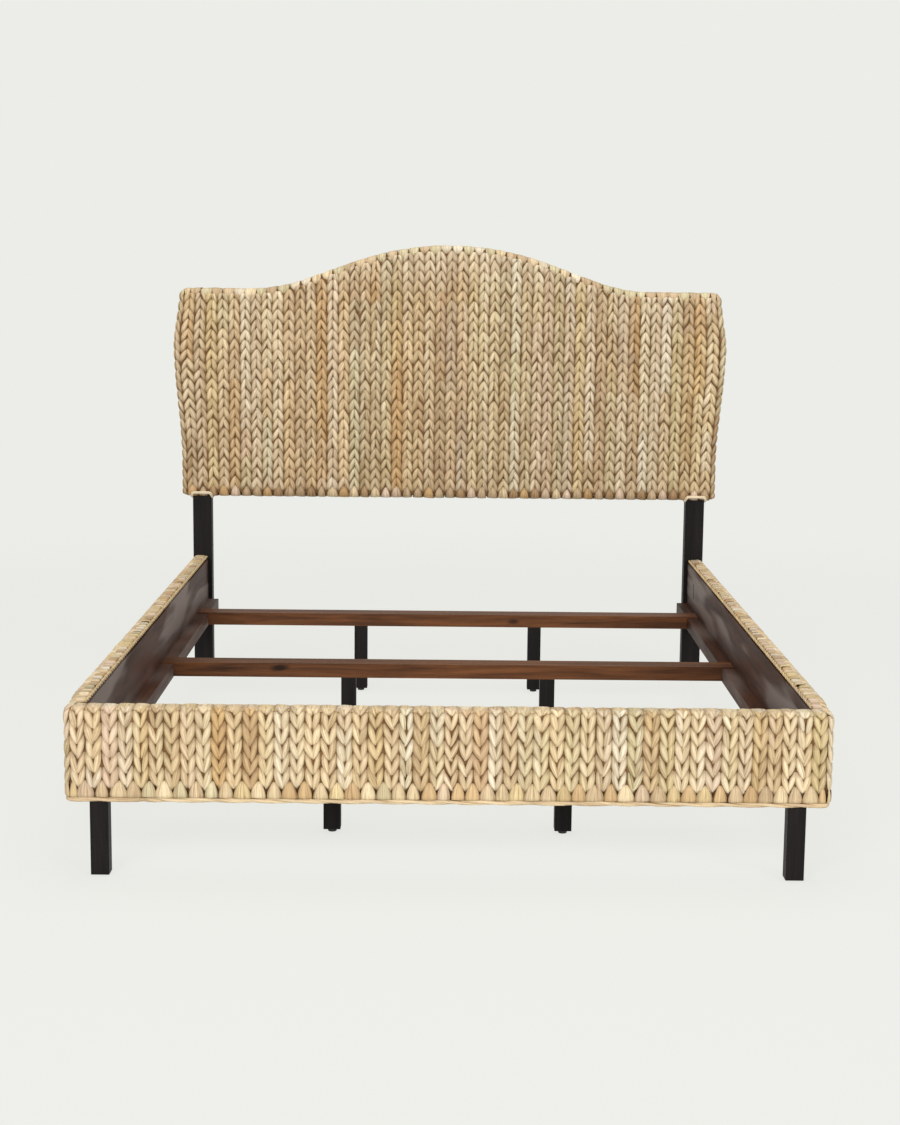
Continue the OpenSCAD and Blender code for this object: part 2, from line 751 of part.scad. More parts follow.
module centre_leg_post(k, side) {
    color(black_wood) at_side(side) translate([centre_leg_x, slat_ys[k] + leg_in_slat, 0]) difference() {
        bar(centre_leg, centre_leg, leg_bottom, slat_z);
        leveller_hole();
        translate([0, 0, slat_z - dowel_l]) cylinder(d = dowel_d + 2 * fit, h = dowel_l + over);
    }
}

// Levelling foot: domed disc and threaded stem
module leveller(k, side) {
    bevel = 1.2;
    color(black_plastic) at_side(side) translate([centre_leg_x, slat_ys[k] + leg_in_slat, 0]) {
        rotate_extrude() polygon([
            [0, 0], [foot_d / 2 - bevel, 0], [foot_d / 2, bevel], [foot_d / 2, foot_h - bevel],
            [foot_d / 2 - bevel, foot_h], [0, foot_h]]);
        translate([0, 0, foot_h / 2]) cylinder(d = stem_d, h = foot_h / 2 + stem_l);
    }
}

// Places something at each of the six centre legs
module at_centre_legs() {
    for (side = [-1, 1], y = slat_ys) translate([side * centre_leg_x, y + leg_in_slat, 0]) children();
}

module leveller_sleeves() {
    color(steel) at_centre_legs() translate([0, 0, leg_bottom]) difference() {
        cylinder(d = sleeve_d, h = sleeve_l);
        translate([0, 0, -over]) cylinder(d = stem_d + 2 * fit, h = sleeve_l + 2 * over);
    }
}

module centre_leg_screws() {
    color(steel) at_centre_legs() translate([0, 0, slat_z - dowel_l])
        cylinder(d = dowel_d, h = 2 * dowel_l);
}

module corner_glides() {
    color(black_plastic) for (side = [-1, 1]) at_side(side) {
        translate([x_leg, y_lining - foot_frame_d / 2, 0]) glide();
        translate([x_post, y_post + post_d / 2, 0]) glide();
    }
}

module head_hook_plates() {
    color(steel) for (side = [-1, 1]) at_side(side) at_head_joint() hook_plate();
}

module head_slot_plates() {
    color(steel) for (side = [-1, 1]) at_side(side) at_head_joint() slot_plate();
}

module foot_hook_plates() {
    color(steel) for (side = [-1, 1]) at_side(side) at_foot_joint() hook_plate();
}

module foot_slot_plates() {
    color(steel) for (side = [-1, 1]) at_side(side) at_foot_joint() slot_plate();
}

rear_post(-1);  // left_rear_post
rear_post(1);  // right_rear_post
headboard_top_rail();
headboard_bottom_rail();
headboard_stile(-1);  // headboard_left_stile
headboard_stile(1);  // headboard_right_stile
wing_board(-1);  // left_wing_board
wing_board(1);  // right_wing_board
headboard_back_panel();
back_panel_screws();
headboard_weave();
headboard_back_cord();
post_cords();
front_leg_post(-1);  // left_front_leg
front_leg_post(1);  // right_front_leg
footboard_top_rail();
footboard_bottom_rail();
footboard_block(-1);  // footboard_left_block
footboard_block(1);  // footboard_right_block
footboard_lining();
footboard_weave();
footboard_cords();
rail_board(-1);  // left_rail_board
rail_board(1);  // right_rail_board
rail_battens(-1);  // left_rail_battens
rail_battens(1);  // right_rail_battens
rail_weave(-1);  // left_rail_weave
rail_weave(1);  // right_rail_weave
rail_cords(-1);  // left_rail_cords
rail_cords(1);  // right_rail_cords
cleat(-1);  // left_cleat
cleat(1);  // right_cleat
cleat_screws();
slat(0);  // foot_slat
slat(1);  // middle_slat
slat(2);  // head_slat
slat_screws();
centre_leg_post(0, -1);  // foot_left_centre_leg
centre_leg_post(0, 1);  // foot_right_centre_leg
centre_leg_post(1, -1);  // middle_left_centre_leg
centre_leg_post(1, 1);  // middle_right_centre_leg
centre_leg_post(2, -1);  // head_left_centre_leg
centre_leg_post(2, 1);  // head_right_centre_leg
leveller(0, -1);  // foot_left_leveller
leveller(0, 1);  // foot_right_leveller
leveller(1, -1);  // middle_left_leveller
leveller(1, 1);  // middle_right_leveller
leveller(2, -1);  // head_left_leveller
leveller(2, 1);  // head_right_leveller
leveller_sleeves();
centre_leg_screws();
corner_glides();
head_hook_plates();
head_slot_plates();
foot_hook_plates();
foot_slot_plates();
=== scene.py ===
# Looks of a bed covered with plaited leaf fibre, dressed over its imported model.
# Shapes are worked out in millimetres, +X right, +Y to the head, +Z up, and made in metres.
import json
import math

import bpy
import numpy as np
from mathutils import Matrix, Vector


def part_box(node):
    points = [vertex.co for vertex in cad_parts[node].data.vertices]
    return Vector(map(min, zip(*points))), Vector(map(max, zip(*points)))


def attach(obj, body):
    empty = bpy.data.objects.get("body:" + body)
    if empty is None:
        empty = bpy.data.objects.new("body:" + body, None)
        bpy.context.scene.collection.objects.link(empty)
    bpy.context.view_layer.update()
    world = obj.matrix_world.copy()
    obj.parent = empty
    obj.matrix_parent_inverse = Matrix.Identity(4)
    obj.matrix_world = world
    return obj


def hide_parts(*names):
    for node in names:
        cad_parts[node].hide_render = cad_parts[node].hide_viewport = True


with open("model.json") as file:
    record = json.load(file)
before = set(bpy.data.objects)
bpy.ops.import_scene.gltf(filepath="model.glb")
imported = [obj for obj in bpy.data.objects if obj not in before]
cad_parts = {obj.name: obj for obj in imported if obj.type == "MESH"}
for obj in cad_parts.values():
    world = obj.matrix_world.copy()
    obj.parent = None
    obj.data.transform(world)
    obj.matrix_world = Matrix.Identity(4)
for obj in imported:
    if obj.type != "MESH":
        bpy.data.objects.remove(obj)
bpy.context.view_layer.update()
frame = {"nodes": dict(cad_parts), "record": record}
MM = 0.001
QUARTER = math.pi / 2
CIRCLE = 2 * math.pi
SIDES = ((-1, "left"), (1, "right"))


# Meshes

SMALLEST_FACE = 1e-4


def grid_faces(shape, round_again):
    """Corners of all faces of separate grids of points: shape is (grids, rows, columns), and
    round_again joins the last column of each grid to its first."""
    index = np.arange(np.prod(shape)).reshape(shape)
    if round_again:
        index = np.concatenate([index, index[:, :, :1]], axis=2)
    corners = [index[:, :-1, :-1], index[:, :-1, 1:], index[:, 1:, 1:], index[:, 1:, :-1]]
    return np.stack(corners, axis=-1).reshape(-1, 4)


def placed(name, data):
    """Object with a mesh, lamp or camera in it, linked into the scene."""
    made = bpy.data.objects.new(name, data)
    bpy.context.scene.collection.objects.link(made)
    return made


def piece(name, points, finish, round_again=False, inside_out=False, lay=None, tint=None,
          atlas=None):
    """Mesh object from grids of points, of shape (grids, rows, columns, 3) in millimetres, where
    a grid that goes round gets a cap at both ends. lay says where a point lies across and along
    its strand and which strand that is, tint is the strand's colour, and atlas the place of each
    point on the UV map named OFBake. A face without area is left out."""
    faces = grid_faces(points.shape[:3], round_again)
    a, b, c, d = (points.reshape(-1, 3)[faces[:, k]] for k in range(4))
    faces = faces[np.linalg.norm(np.cross(c - a, d - b), axis=1) > SMALLEST_FACE]
    if inside_out:
        faces = faces[:, ::-1]
    flat = faces.ravel().astype(np.int32)
    starts = np.arange(0, flat.size, 4, dtype=np.int32)
    if round_again:
        count, rows, sides = points.shape[:3]
        rings = np.arange(count)[:, None] * rows * sides + np.arange(sides)
        caps = np.concatenate([rings[:, ::-1], rings + (rows - 1) * sides])
        starts = np.append(starts, flat.size + np.arange(0, caps.size, sides)).astype(np.int32)
        flat = np.append(flat, caps.ravel()).astype(np.int32)
    mesh = bpy.data.meshes.new(name)
    mesh.vertices.add(points.size // 3)
    mesh.vertices.foreach_set("co", (points * MM).astype(np.float32).ravel())
    mesh.loops.add(flat.size)
    mesh.loops.foreach_set("vertex_index", flat)
    mesh.polygons.add(starts.size)
    mesh.polygons.foreach_set("loop_start", starts)
    mesh.polygons.foreach_set("use_smooth", np.ones(starts.size, bool))
    mesh.update(calc_edges=True)
    for label, kind, key, values in (("lay", "FLOAT_VECTOR", "vector", lay),
                                     ("tint", "FLOAT_COLOR", "color", tint)):
        if values is not None:
            mesh.attributes.new(label, kind, "POINT").data.foreach_set(
                key, values.astype(np.float32).ravel())
    if atlas is not None:
        mesh.uv_layers.new(name="OFBake").data.foreach_set(
            "uv", atlas.reshape(-1, 2)[flat].astype(np.float32).ravel())
    mesh.materials.append(finish)
    made = placed(name, mesh)
    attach(made, "bed_frame")
    return made


def along(distance, start, heading, runs, radii):
    """Point and outward direction at a distance along a path of straight runs that are joined
    by quarter turns to the left. The first run goes on backwards and the last one onwards.
    A point is the start plus, for each run, its covered length times its direction, and for
    each turn, r sin(a) forwards and r (1 - cos(a)) to the left. Outward is to the right."""
    across, up = start[0] + 0.0 * distance, start[1] + 0.0 * distance
    angle = 0.0 * distance
    passed = 0.0 * distance
    for k, run in enumerate(runs):
        course = heading + k * QUARTER
        low = -np.inf if k == 0 else 0.0
        high = np.inf if k == len(runs) - 1 else run
        covered = np.clip(distance - passed, low, high)
        across = across + covered * math.cos(course)
        up = up + covered * math.sin(course)
        passed = passed + run
        if k < len(radii):
            r = radii[k]
            a = np.clip((distance - passed) / r, 0, QUARTER)
            ahead, left = r * np.sin(a), r * (1 - np.cos(a))
            across = across + ahead * math.cos(course) - left * math.sin(course)
            up = up + ahead * math.sin(course) + left * math.cos(course)
            angle = angle + a
            passed = passed + r * QUARTER
    return across, up, np.sin(heading + angle), -np.cos(heading + angle)


def smooth(t):
    """Smooth step from 0 to 1: 3 t squared - 2 t cubed."""
    t = np.clip(t, 0, 1)
    return t * t * (3 - 2 * t)


# Surfaces under the plait

# In this section a function whose name ends in place gives the point at u across the columns, v
# along them and h outside the covered face, all in millimetres, or returns a function that does


def span(node, axis):
    """Lowest and highest place of a CAD node on an axis, in millimetres."""
    low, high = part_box(node)
    return low[axis] / MM, high[axis] / MM


# Footboard and rails: outer faces, rounded corners and edges, how far the footboard's cover goes
# round its corners, and the length over which a rail sinks to the footboard's height
FRONT, INNER_END = span("footboard_weave", 1)
FOOT_HALF_WIDTH, TOP = (span("footboard_weave", k)[1] for k in (0, 2))
WEAVE_LOW = span("footboard_weave", 2)[0]
FOOT_CORNER, FOOT_EDGE = 20.0, 12.0
FOOT_END = INNER_END - FRONT - FOOT_CORNER
FOOT_HALF = FOOT_HALF_WIDTH - FOOT_CORNER
FOOT_WRAP = FOOT_CORNER * QUARTER + FOOT_END
RAIL_OUT, RAIL_TOP = (span("right_rail_weave", k)[1] for k in (0, 2))
RAIL_LENGTH = span("right_rail_weave", 1)[1] - INNER_END
RAIL_EDGE, RAIL_SINK = 22.0, 60.0
# The last run of a path needs no length, because it goes on
GOES_ON = 0.0


def cover_profile(v, h, top, edge):
    """Distance outside the outer face and height, for v up the face, over the edge and inwards."""
    out, up, facing_out, facing_up = along(
        v, (0.0, WEAVE_LOW), QUARTER, [top - edge - WEAVE_LOW, GOES_ON], [edge])
    return out + h * facing_out, up + h * facing_up


def top_start(top, edge):
    """Where on v the flat top of a cover begins."""
    return top - edge - WEAVE_LOW + edge * QUARTER


def footboard_place(u, v, h):
    """The footboard's cover: u along its plan from the middle of the front, round both corners."""
    x, y, face_x, face_y = along(u + FOOT_HALF + FOOT_WRAP, (-FOOT_HALF_WIDTH, INNER_END), -QUARTER,
                                 [FOOT_END, 2 * FOOT_HALF, FOOT_END], [FOOT_CORNER] * 2)
    out, z = cover_profile(v, h, TOP, FOOT_EDGE)
    return np.stack([x + out * face_x, y + out * face_y, z], axis=-1)


def rail_place(side):
    """The cover of the rail on one side: u along it, v up its outer face and over the top, which
    sinks smoothly to the height of the footboard over the last stretch before it."""
    def place(u, v, h):
        out, z = cover_profile(v, h, RAIL_TOP, RAIL_EDGE)
        run = u if side > 0 else RAIL_LENGTH - u
        height = (z - WEAVE_LOW) / (RAIL_TOP - WEAVE_LOW)
        sunk = (RAIL_TOP - TOP) * smooth(1 - run / RAIL_SINK) * height
        return np.stack([side * (RAIL_OUT + out), INNER_END + run, z - sunk], axis=-1)
    return place


# Headboard: its faces before the wings bend, its lower edge, top and shoulders
HEAD_FRONT, HEAD_BACK = 1027.0, 1100.0
HEAD_LOW, CROWN = span("headboard_weave", 2)
SHOULDER, SHOULDER_WIDTH = 1243.0, 220.0
# Shares of the way to the shoulder where the crown's round arc ends and its hollow one starts
ROUND_END, HOLLOW_START = 0.5, 0.72
# How far the wings bend forward at the front and at the back, and sideways
WING_FORWARD, WING_BACK_FORWARD, WING_OUT = 45.0, 62.0, 16.0
# Heights where they start and reach furthest, and the share that is gone at the shoulder
WING_FOOT, WING_WIDEST, WING_FADE = 700.0, 1060.0, 0.9
# Widths of the zones that bend at the front and at the back
FAN_WIDTH, BACK_FAN_WIDTH = 160.0, 32.0
HEAD_HALF = span("headboard_weave", 0)[1] - WING_OUT
SHOULDER_X = HEAD_HALF - SHOULDER_WIDTH
FAN_START, BACK_START = HEAD_HALF - FAN_WIDTH, HEAD_HALF - BACK_FAN_WIDTH
# Radii of the front edges, back edges and outer corners, and the rim round the back panel
HEAD_R, BACK_R, CORNER_R, RIM = 16.0, 8.0, 25.0, 7.0
HEAD_FLAT = HEAD_BACK - HEAD_FRONT - HEAD_R - BACK_R
HEAD_EDGE = HEAD_HALF - HEAD_R
FRONT_EDGE_LENGTH, BACK_EDGE_LENGTH = HEAD_R * QUARTER, BACK_R * QUARTER
OVER_TOP = FRONT_EDGE_LENGTH + HEAD_FLAT + BACK_EDGE_LENGTH + RIM
WING_BACK = HEAD_HALF - BACK_R - BACK_START
WING_WRAP = FRONT_EDGE_LENGTH + HEAD_FLAT + BACK_EDGE_LENGTH + WING_BACK
FRONT_W = OVER_TOP - HEAD_LOW - HEAD_R
# Share of its depth that the plait keeps where the back curls forward, and the step for normals
THINNEST_BACK, HALF_STEP = 0.35, 0.5


def crown(x):
    """Height of the outline: a round arc, a straight slope and a hollow arc down to the shoulder,
    less the rounding of the outer corners. With s from 0 in the middle to 1 at the shoulder and
    m the slope, the share of the drop is m s squared / 2a up to a, m (s - a / 2) up to b, and
    1 - m (1 - s) squared / 2 (1 - b) from there."""
    a, b = ROUND_END, HOLLOW_START
    m = 2 / (1 + b - a)
    s = np.clip(np.abs(x) / SHOULDER_X, 0, 1)
    drop = np.where(s < a, m * s * s / (2 * a),
                    np.where(s < b, m * (s - a / 2), 1 - m * (1 - s) ** 2 / (2 * (1 - b))))
    inside = np.clip(CORNER_R - (HEAD_HALF - np.abs(x)), 0, CORNER_R)
    return CROWN - (CROWN - SHOULDER) * drop - CORNER_R + np.sqrt(CORNER_R ** 2 - inside ** 2)


def winged(x, y, z):
    """The flat headboard with its wings curled forward: a point moves forward, and at the front
    sideways too, by the wing's reach times the square of its way into the bent zone. That grows
    smoothly with the height up to the widest place of the wings, and fades above it."""
    reach = np.minimum(np.abs(x), HEAD_HALF)
    grown = smooth((z - WING_FOOT) / (WING_WIDEST - WING_FOOT)) \
        * (1 - WING_FADE * smooth((z - WING_WIDEST) / (SHOULDER - WING_WIDEST)))
    front = (np.maximum(reach - FAN_START, 0) / (HEAD_HALF - FAN_START)) ** 2
    back = (np.maximum(reach - BACK_START, 0) / (HEAD_HALF - BACK_START)) ** 2
    share = np.clip((y - HEAD_FRONT) / (HEAD_BACK - HEAD_FRONT), 0, 1)
    curl = ((1 - share) * WING_FORWARD * front + share * WING_BACK_FORWARD * back) * grown
    return np.stack([x + np.sign(x) * WING_OUT * grown * front, y - curl, z], axis=-1)


def headboard_place(u, v, h):
    """The front columns: u across, and v from the back rim under the lower edge, up the front,
    over the crown and down the rim behind it. On the front v is the height plus FRONT_W."""
    front = crown(u) - HEAD_LOW - 2 * HEAD_R
    ahead, z, face_y, face_z = along(
        v, (0.0, HEAD_LOW + BACK_R + RIM), -QUARTER,
        [RIM, HEAD_FLAT, front, HEAD_FLAT, RIM], [BACK_R, HEAD_R, HEAD_R, BACK_R])
    return winged(u + 0.0 * v, HEAD_BACK - ahead - h * face_y, z + h * face_z)


def front_end(u):
    """Where on v the headboard's flat front ends and turns over the crown."""
    return crown(u) - HEAD_R + FRONT_W


def wing_place(side):
    """The edge of one wing: u from the end of the front columns round the edge to the back panel,
    v the height, which turns inwards over the rounded top corner. The normal is the cross product
    of the steps along u and v. Where the back curls forward the cover is thinner, so h shrinks."""
    def face(u, v):
        ahead, wide, _, _ = along(u, (0.0, HEAD_EDGE), QUARTER, [0.0, HEAD_FLAT, GOES_ON],
                                  [HEAD_R, BACK_R])
        drawn, z, _, _ = along(v, (0.0, 0.0), QUARTER, [SHOULDER - CORNER_R, GOES_ON], [CORNER_R])
        share = (wide - BACK_START) / (HEAD_HALF - BACK_START)
        return winged(side * (wide + drawn * share), HEAD_FRONT - ahead + 0.0 * drawn,
                      z + 0.0 * ahead)

    def place(u, v, h):
        u, v = u + 0.0 * v, v + 0.0 * u
        step_u = face(u + HALF_STEP, v) - face(u - HALF_STEP, v)
        step_v = face(u, v + HALF_STEP) - face(u, v - HALF_STEP)
        normal = side * np.cross(step_u, step_v)
        normal /= np.linalg.norm(normal, axis=-1, keepdims=True)
        behind = smooth((u - FRONT_EDGE_LENGTH - HEAD_FLAT) / BACK_EDGE_LENGTH)
        depth = 1 - behind * (1 - np.maximum(np.abs(normal[..., 1]), THINNEST_BACK))
        return face(u, v) + (h * depth)[..., None] * normal
    return place


# Colours of the fibre

def paint(red, green, blue):
    """Colour of the screen, 0 to 255, as the shader's linear colour."""
    c = np.array([red, green, blue]) / 255
    return np.where(c <= 0.04045, c / 12.92, ((c + 0.055) / 1.055) ** 2.4)


CREAM, WHITISH, PINKISH = paint(228, 207, 170), paint(231, 220, 199), paint(221, 197, 173)
YELLOW, GREENISH = paint(218, 195, 144), paint(207, 197, 161)
ORANGE, TAN, BROWN = paint(204, 168, 118), paint(200, 175, 141), paint(170, 139, 101)
TONES = np.array([CREAM, WHITISH, PINKISH, YELLOW, GREENISH, ORANGE, TAN, BROWN])


# The plait

# Points across a leaf, and the share of a half ellipse's width that its section takes
LEAF_ACROSS, SECTION_ARC = np.array([-1.0, -0.7, 0.0, 0.7, 1.0]), 0.98
# Its width at both ends as a share, how fully it narrows to them, how much of its lean the root
# keeps, and how deep the ends dive
END_WIDTH, NARROWING, ROOT_LEAN, DIVE = 0.14, 0.7, 0.75, 8.2
# How much leaves differ: degrees for the leans, shares for length, width and brightness, and
# millimetres for the rest
SPREAD = {"lean": 4.0, "strip_lean": 1.0, "length": 0.05, "width": 0.085, "across": 0.6,
          "along": 1.5, "crest": 0.4, "twist": 0.8, "brightness": 0.08}
# How far leaves reach past their limits, and how steeply and deeply they are drawn in there
PAST_LIMIT, TUCK_SLOPE, TUCK_DEPTH = 3.0, 0.9, 9.0
# Where the shade on the root starts, how far the leaf above shifts it to one side and how soft it
# is, then the same for the tip with its share of shade. Shade is brown, so red fades least
ROOT_SHADE, ROOT_SHIFT, ROOT_SOFT = 0.3, 0.17, 0.45
TIP_SHADE, TIP_SOFT, TIP_DARK = 0.7, 0.3, 0.15
SHADE_POWERS = np.array([0.84, 1.0, 1.22])
# Range of the numbers that tell strands apart, and the half width that a leaf fills in its cell
# of the map
STRANDS, CELL_HALF = 1000, 0.44
# Shares of a leaf's own tone, its pair's and its group's, how often each changes, and the
# number of chains in a group
OWN_TONE, PAIR_TONE, GROUP_TONE = 0.22, 0.48, 0.3
OWN_CHANGE, PAIR_CHANGE, GROUP_CHANGE, GROUP = 0.12, 0.05, 0.03, 6
# How much the pairs shift along the columns together, over how many neighbours, and singly
WAVE, WAVE_REACH, PAIR_SHIFT = 0.5, 4, 0.9
# Width of a leaf and of a strip as shares of its place, and a strip's extra length and lightness
LEAF_FILL, STRIP_FILL, STRIP_PAST, STRIP_LIGHT = 0.94, 1.04, 6.0, 0.95
# Lean in degrees and length in pitches of the leaves on the footboard and rails
COVER_LEAN, COVER_LENGTH = 17.5, 1.66
# Power that keeps a strip's end broad, and how deep the border of a ground sheet turns in
BROAD_END, GROUND_BORDER = 40.0, 11.0
# Points at which the width of a surface is measured
MEASURED_POINTS = 200


def even_columns(place, height, end, pairs):
    """Middle lines and widths of pairs of columns, equally wide on a surface at one height."""
    u = np.linspace(0, end, MEASURED_POINTS)
    steps = np.linalg.norm(np.diff(place(u, height, 0.0), axis=0), axis=1)
    edges = np.interp(np.linspace(0, steps.sum(), pairs + 1), np.append(0, np.cumsum(steps)), u)
    return (edges[:-1] + edges[1:]) / 2, np.diff(edges)


def pairs_of_columns(total, pairs, rng, start, spread=0.05):
    """Middle lines and widths of pairs of columns that fill a length, a little uneven."""
    widths = 1 + spread * rng.standard_normal(pairs)
    widths *= total / widths.sum()
    return start + np.cumsum(widths) - widths / 2, widths


def held_tones(count, rows, shares, change, rng):
    """Tone of each strand, where one tone lasts for a random run of rows in a chain."""
    picks = rng.choice(len(TONES), (count, rows), p=np.array(shares) / sum(shares))
    changes = rng.random((count, rows)) < change
    changes[:, 0] = True
    last = np.maximum.accumulate(np.where(changes, np.arange(rows), 0), axis=1)
    return TONES[np.take_along_axis(picks, last, axis=1)]


def leaves(name, place, u, v, half, length, slant, lean, colours, tips_down, tuck, rng,
           narrowing=(2.0, 2.0), diving=(1.9, 4.2), thick=6.5, crest=1.2, hidden=0.42, dark=0.6,
           rows=11):
    """Plump leaf strands, each about a point (u, v) of a surface. The tip half of a leaf leans from
    the columns' direction to the side that slant names, and its root half a little less. Its
    half width narrows to both ends as a power of (1 - t to a power), and its section is an
    ellipse's arc. Its crest dives to both ends as t to a power, at the tip late and steeply, so
    that the tip lies over the next strand. Both pairs of powers are for the root and the tip.
    Past the tuck limits the leaf is drawn in. Painted shade darkens the tint to the sides by the
    dark share, to the root by the hidden share, which the leaf above covers and shades further on
    the side it leans to, and a little to the tip."""
    count = len(u)
    down = 1.0 if tips_down else -1.0

    def each(values):
        return np.broadcast_to(values, count)[:, None, None]

    def vary(measure):
        return rng.normal(0, SPREAD[measure], count)[:, None, None]

    steps = np.sin(np.linspace(-QUARTER, QUARTER, rows))
    t, s = np.meshgrid(steps, LEAF_ACROSS, indexing="ij")
    t, s = t[None], s[None]
    angle = np.radians(lean + vary("lean" if lean else "strip_lean"))
    side = each(slant)
    ending = np.where(t > 0, narrowing[1], narrowing[0])
    narrow = END_WIDTH + (1 - END_WIDTH) * np.clip(1 - np.abs(t) ** ending, 0, 1) ** NARROWING
    ahead = each(length) / 2 * (1 + vary("length")) * t
    wide = each(half) * (1 + vary("width"))
    across = wide * narrow * s
    bent_in = ahead * np.sin(angle) * np.where(t > 0, 1.0, ROOT_LEAN)
    places_u = each(u) + vary("across") + side * bent_in + across * np.cos(angle)
    places_v = each(v) + vary("along") \
        + down * (across * side * np.sin(angle) - ahead * np.cos(angle))
    dive = DIVE * np.abs(t) ** np.where(t > 0, diving[1], diving[0])
    section = np.minimum(thick, each(half)) * narrow * (1 - np.sqrt(1 - (SECTION_ARC * s) ** 2))
    h = crest + np.abs(vary("crest")) - dive - section + s * vary("twist")
    low, high = (each(limit) for limit in tuck)
    beyond = np.maximum(low - places_v, 0) + np.maximum(places_v - high, 0)
    points = place(places_u, np.clip(places_v, low - PAST_LIMIT, high + PAST_LIMIT),
                   h - np.minimum(TUCK_SLOPE * beyond, TUCK_DEPTH))

    strand = STRANDS * rng.random(count)[:, None, None]
    lay = np.stack(np.broadcast_arrays(wide * s, ahead, strand), axis=-1) * np.array([MM, MM, 1.0])
    # Painted shade in the tint: darker to the sides, at the root under the leaf above, and at the
    # tip
    covered = smooth((-t - ROOT_SHADE + ROOT_SHIFT * s * side) / ROOT_SOFT)
    tip = smooth((t - TIP_SHADE) / TIP_SOFT)
    shaded = (1 - dark * np.abs(s) ** 3) * (1 - hidden * covered) * (1 - TIP_DARK * tip)
    shaded = shaded * np.exp(vary("brightness"))
    tint = np.ones(shaded.shape + (4,))
    tint[..., :3] = colours[:, None, None, :] * shaded[..., None] ** SHADE_POWERS
    cells = int(math.ceil(math.sqrt(count)))
    corner = np.stack([np.arange(count) % cells, np.arange(count) // cells], axis=-1)
    inside = np.stack(np.broadcast_arrays(0.5 + CELL_HALF * s + 0 * t, 0.5 + CELL_HALF * t + 0 * s),
                      axis=-1)
    atlas = (corner[:, None, None, :] + inside) / cells
    if not tips_down:
        points, lay, tint, atlas = (a[:, ::-1] for a in (points, lay, tint, atlas))
    return piece(name, points, fibre, inside_out=True, lay=lay, tint=tint,
                 atlas=atlas)


def plait(name, place, columns, first, pitch, last, tips_down, tuck, shares, rng, lean=COVER_LEAN,
          length=COVER_LENGTH, pale=(0.0, 1.0, 0.0)):
    """Chains of overlapping leaves in mirrored pairs, whose tips meet on the pairs' middle lines.
    Rows start at first and follow by the pitch up to last, and a leaf is length pitches long.
    Neighbours share part of their tone. pale says from which v, over what length and by what share
    the leaves are mixed towards whitish, painted light that makes their upper part lighter."""
    lines, widths = columns
    chains = 2 * len(lines)
    rows = int(math.ceil((np.max(last) - first) / pitch)) + 1
    u = np.stack([lines - widths / 4, lines + widths / 4], axis=1).ravel()
    half = np.repeat(widths / 4, 2)
    wave = WAVE * np.cumsum(rng.standard_normal(len(lines)))
    window = 2 * WAVE_REACH + 1
    wave = wave - np.convolve(np.pad(wave, WAVE_REACH, mode="edge"), np.ones(window) / window,
                              "valid")
    shift = np.repeat(wave + rng.normal(0, PAIR_SHIFT, len(lines)), 2)
    own = held_tones(chains, rows, shares, OWN_CHANGE, rng)
    paired = held_tones(len(lines), rows, shares, PAIR_CHANGE, rng)
    grouped = held_tones(chains // GROUP + 1, rows, shares, GROUP_CHANGE, rng)
    colours = OWN_TONE * own + PAIR_TONE * np.repeat(paired, 2, axis=0) \
        + GROUP_TONE * np.repeat(grouped, GROUP, axis=0)[:chains]
    chain, row = (k.ravel() for k in np.meshgrid(np.arange(chains), np.arange(rows), indexing="ij"))
    v = first + pitch * row + shift[chain]
    kept = v < np.broadcast_to(last, chains)[chain]
    chain, row, v = chain[kept], row[kept], v[kept]
    limits = [np.broadcast_to(limit, chains)[chain] for limit in tuck]
    tones = colours[chain, row]
    # Painted light: higher leaves are mixed towards whitish, lighter where the light from above
    # falls
    painted_top_light = pale[2] * smooth((v - pale[0]) / pale[1])[:, None]
    tones = tones + painted_top_light * (WHITISH - tones)
    return leaves(name, place, u[chain], v, half[chain] * LEAF_FILL, length * pitch,
                  np.where(chain % 2, -1.0, 1.0), lean, tones, tips_down, limits, rng)


def at_boundaries(columns):
    """Middles and widths of strips on the boundaries of the pairs, with half strips at the ends."""
    lines, widths = columns
    middles = np.append(lines - widths / 2, lines[-1] + widths[-1] / 2)
    middles[[0, -1]] += widths[0] / 4, -widths[-1] / 4
    between = (widths[:-1] + widths[1:]) / 2
    return middles, np.concatenate([[widths[0] / 2], between, [widths[-1] / 2]])


def edge_strips(name, place, middles, widths, low, high, shares, point_low, rng, point=BROAD_END,
                crest=1.5, pale=0.4, tucked=0.0, dark=0.6):
    """A row of broad flat strips that wrap over an edge from low to high along the columns, where
    one end can be narrowed to a point. Their lowest part can be tucked in."""
    own = held_tones(len(middles), 1, shares, 0.0, rng)[:, 0]
    colours = (1 - pale) * own + pale * STRIP_LIGHT * CREAM
    low, high = (np.broadcast_to(limit, len(middles)) for limit in (low, high))
    return leaves(name, place, middles, (low + high) / 2, widths / 2 * STRIP_FILL,
                  high - low + STRIP_PAST, np.zeros(len(middles)), 0.0, colours, point_low,
                  (low + tucked, high), rng, narrowing=(BROAD_END, point), diving=(20.0, 4.0),
                  thick=2.4, crest=crest, hidden=0.0, dark=dark, rows=15)


def ground(name, place, us, vs, depth=5.5, inside_out=True):
    """Fibre sheet under the plait, dark brown with painted shade, whose border turns inwards. vs
    are the same for all of us, or have a row for each."""
    vs = np.pad(np.broadcast_to(vs, (len(us), vs.shape[-1])), 1, mode="edge")
    u = np.broadcast_to(np.pad(us, 1, mode="edge")[:, None], vs.shape)
    h = np.full(vs.shape, -depth)
    h[[0, -1], :] = h[:, [0, -1]] = -GROUND_BORDER
    return piece(name, place(u, vs, h)[None], ground_fibre, inside_out=inside_out)


# Cords

# Plies, points round a ply, points along a turn of the plies and steps round a bend
PLIES, PLY_SIDES, TURN_STEPS, BEND_STEPS = 2, 8, 14, 6
# How much a cord's turning drifts and over what length, and the length over which tones change
DRIFT, DRIFT_LENGTH, TONE_LENGTH = 0.35, 60, 90
# Steps that keep the fibre's pattern apart on cords and on their plies
CORD_APART, PLY_APART = 37.0, 11.0


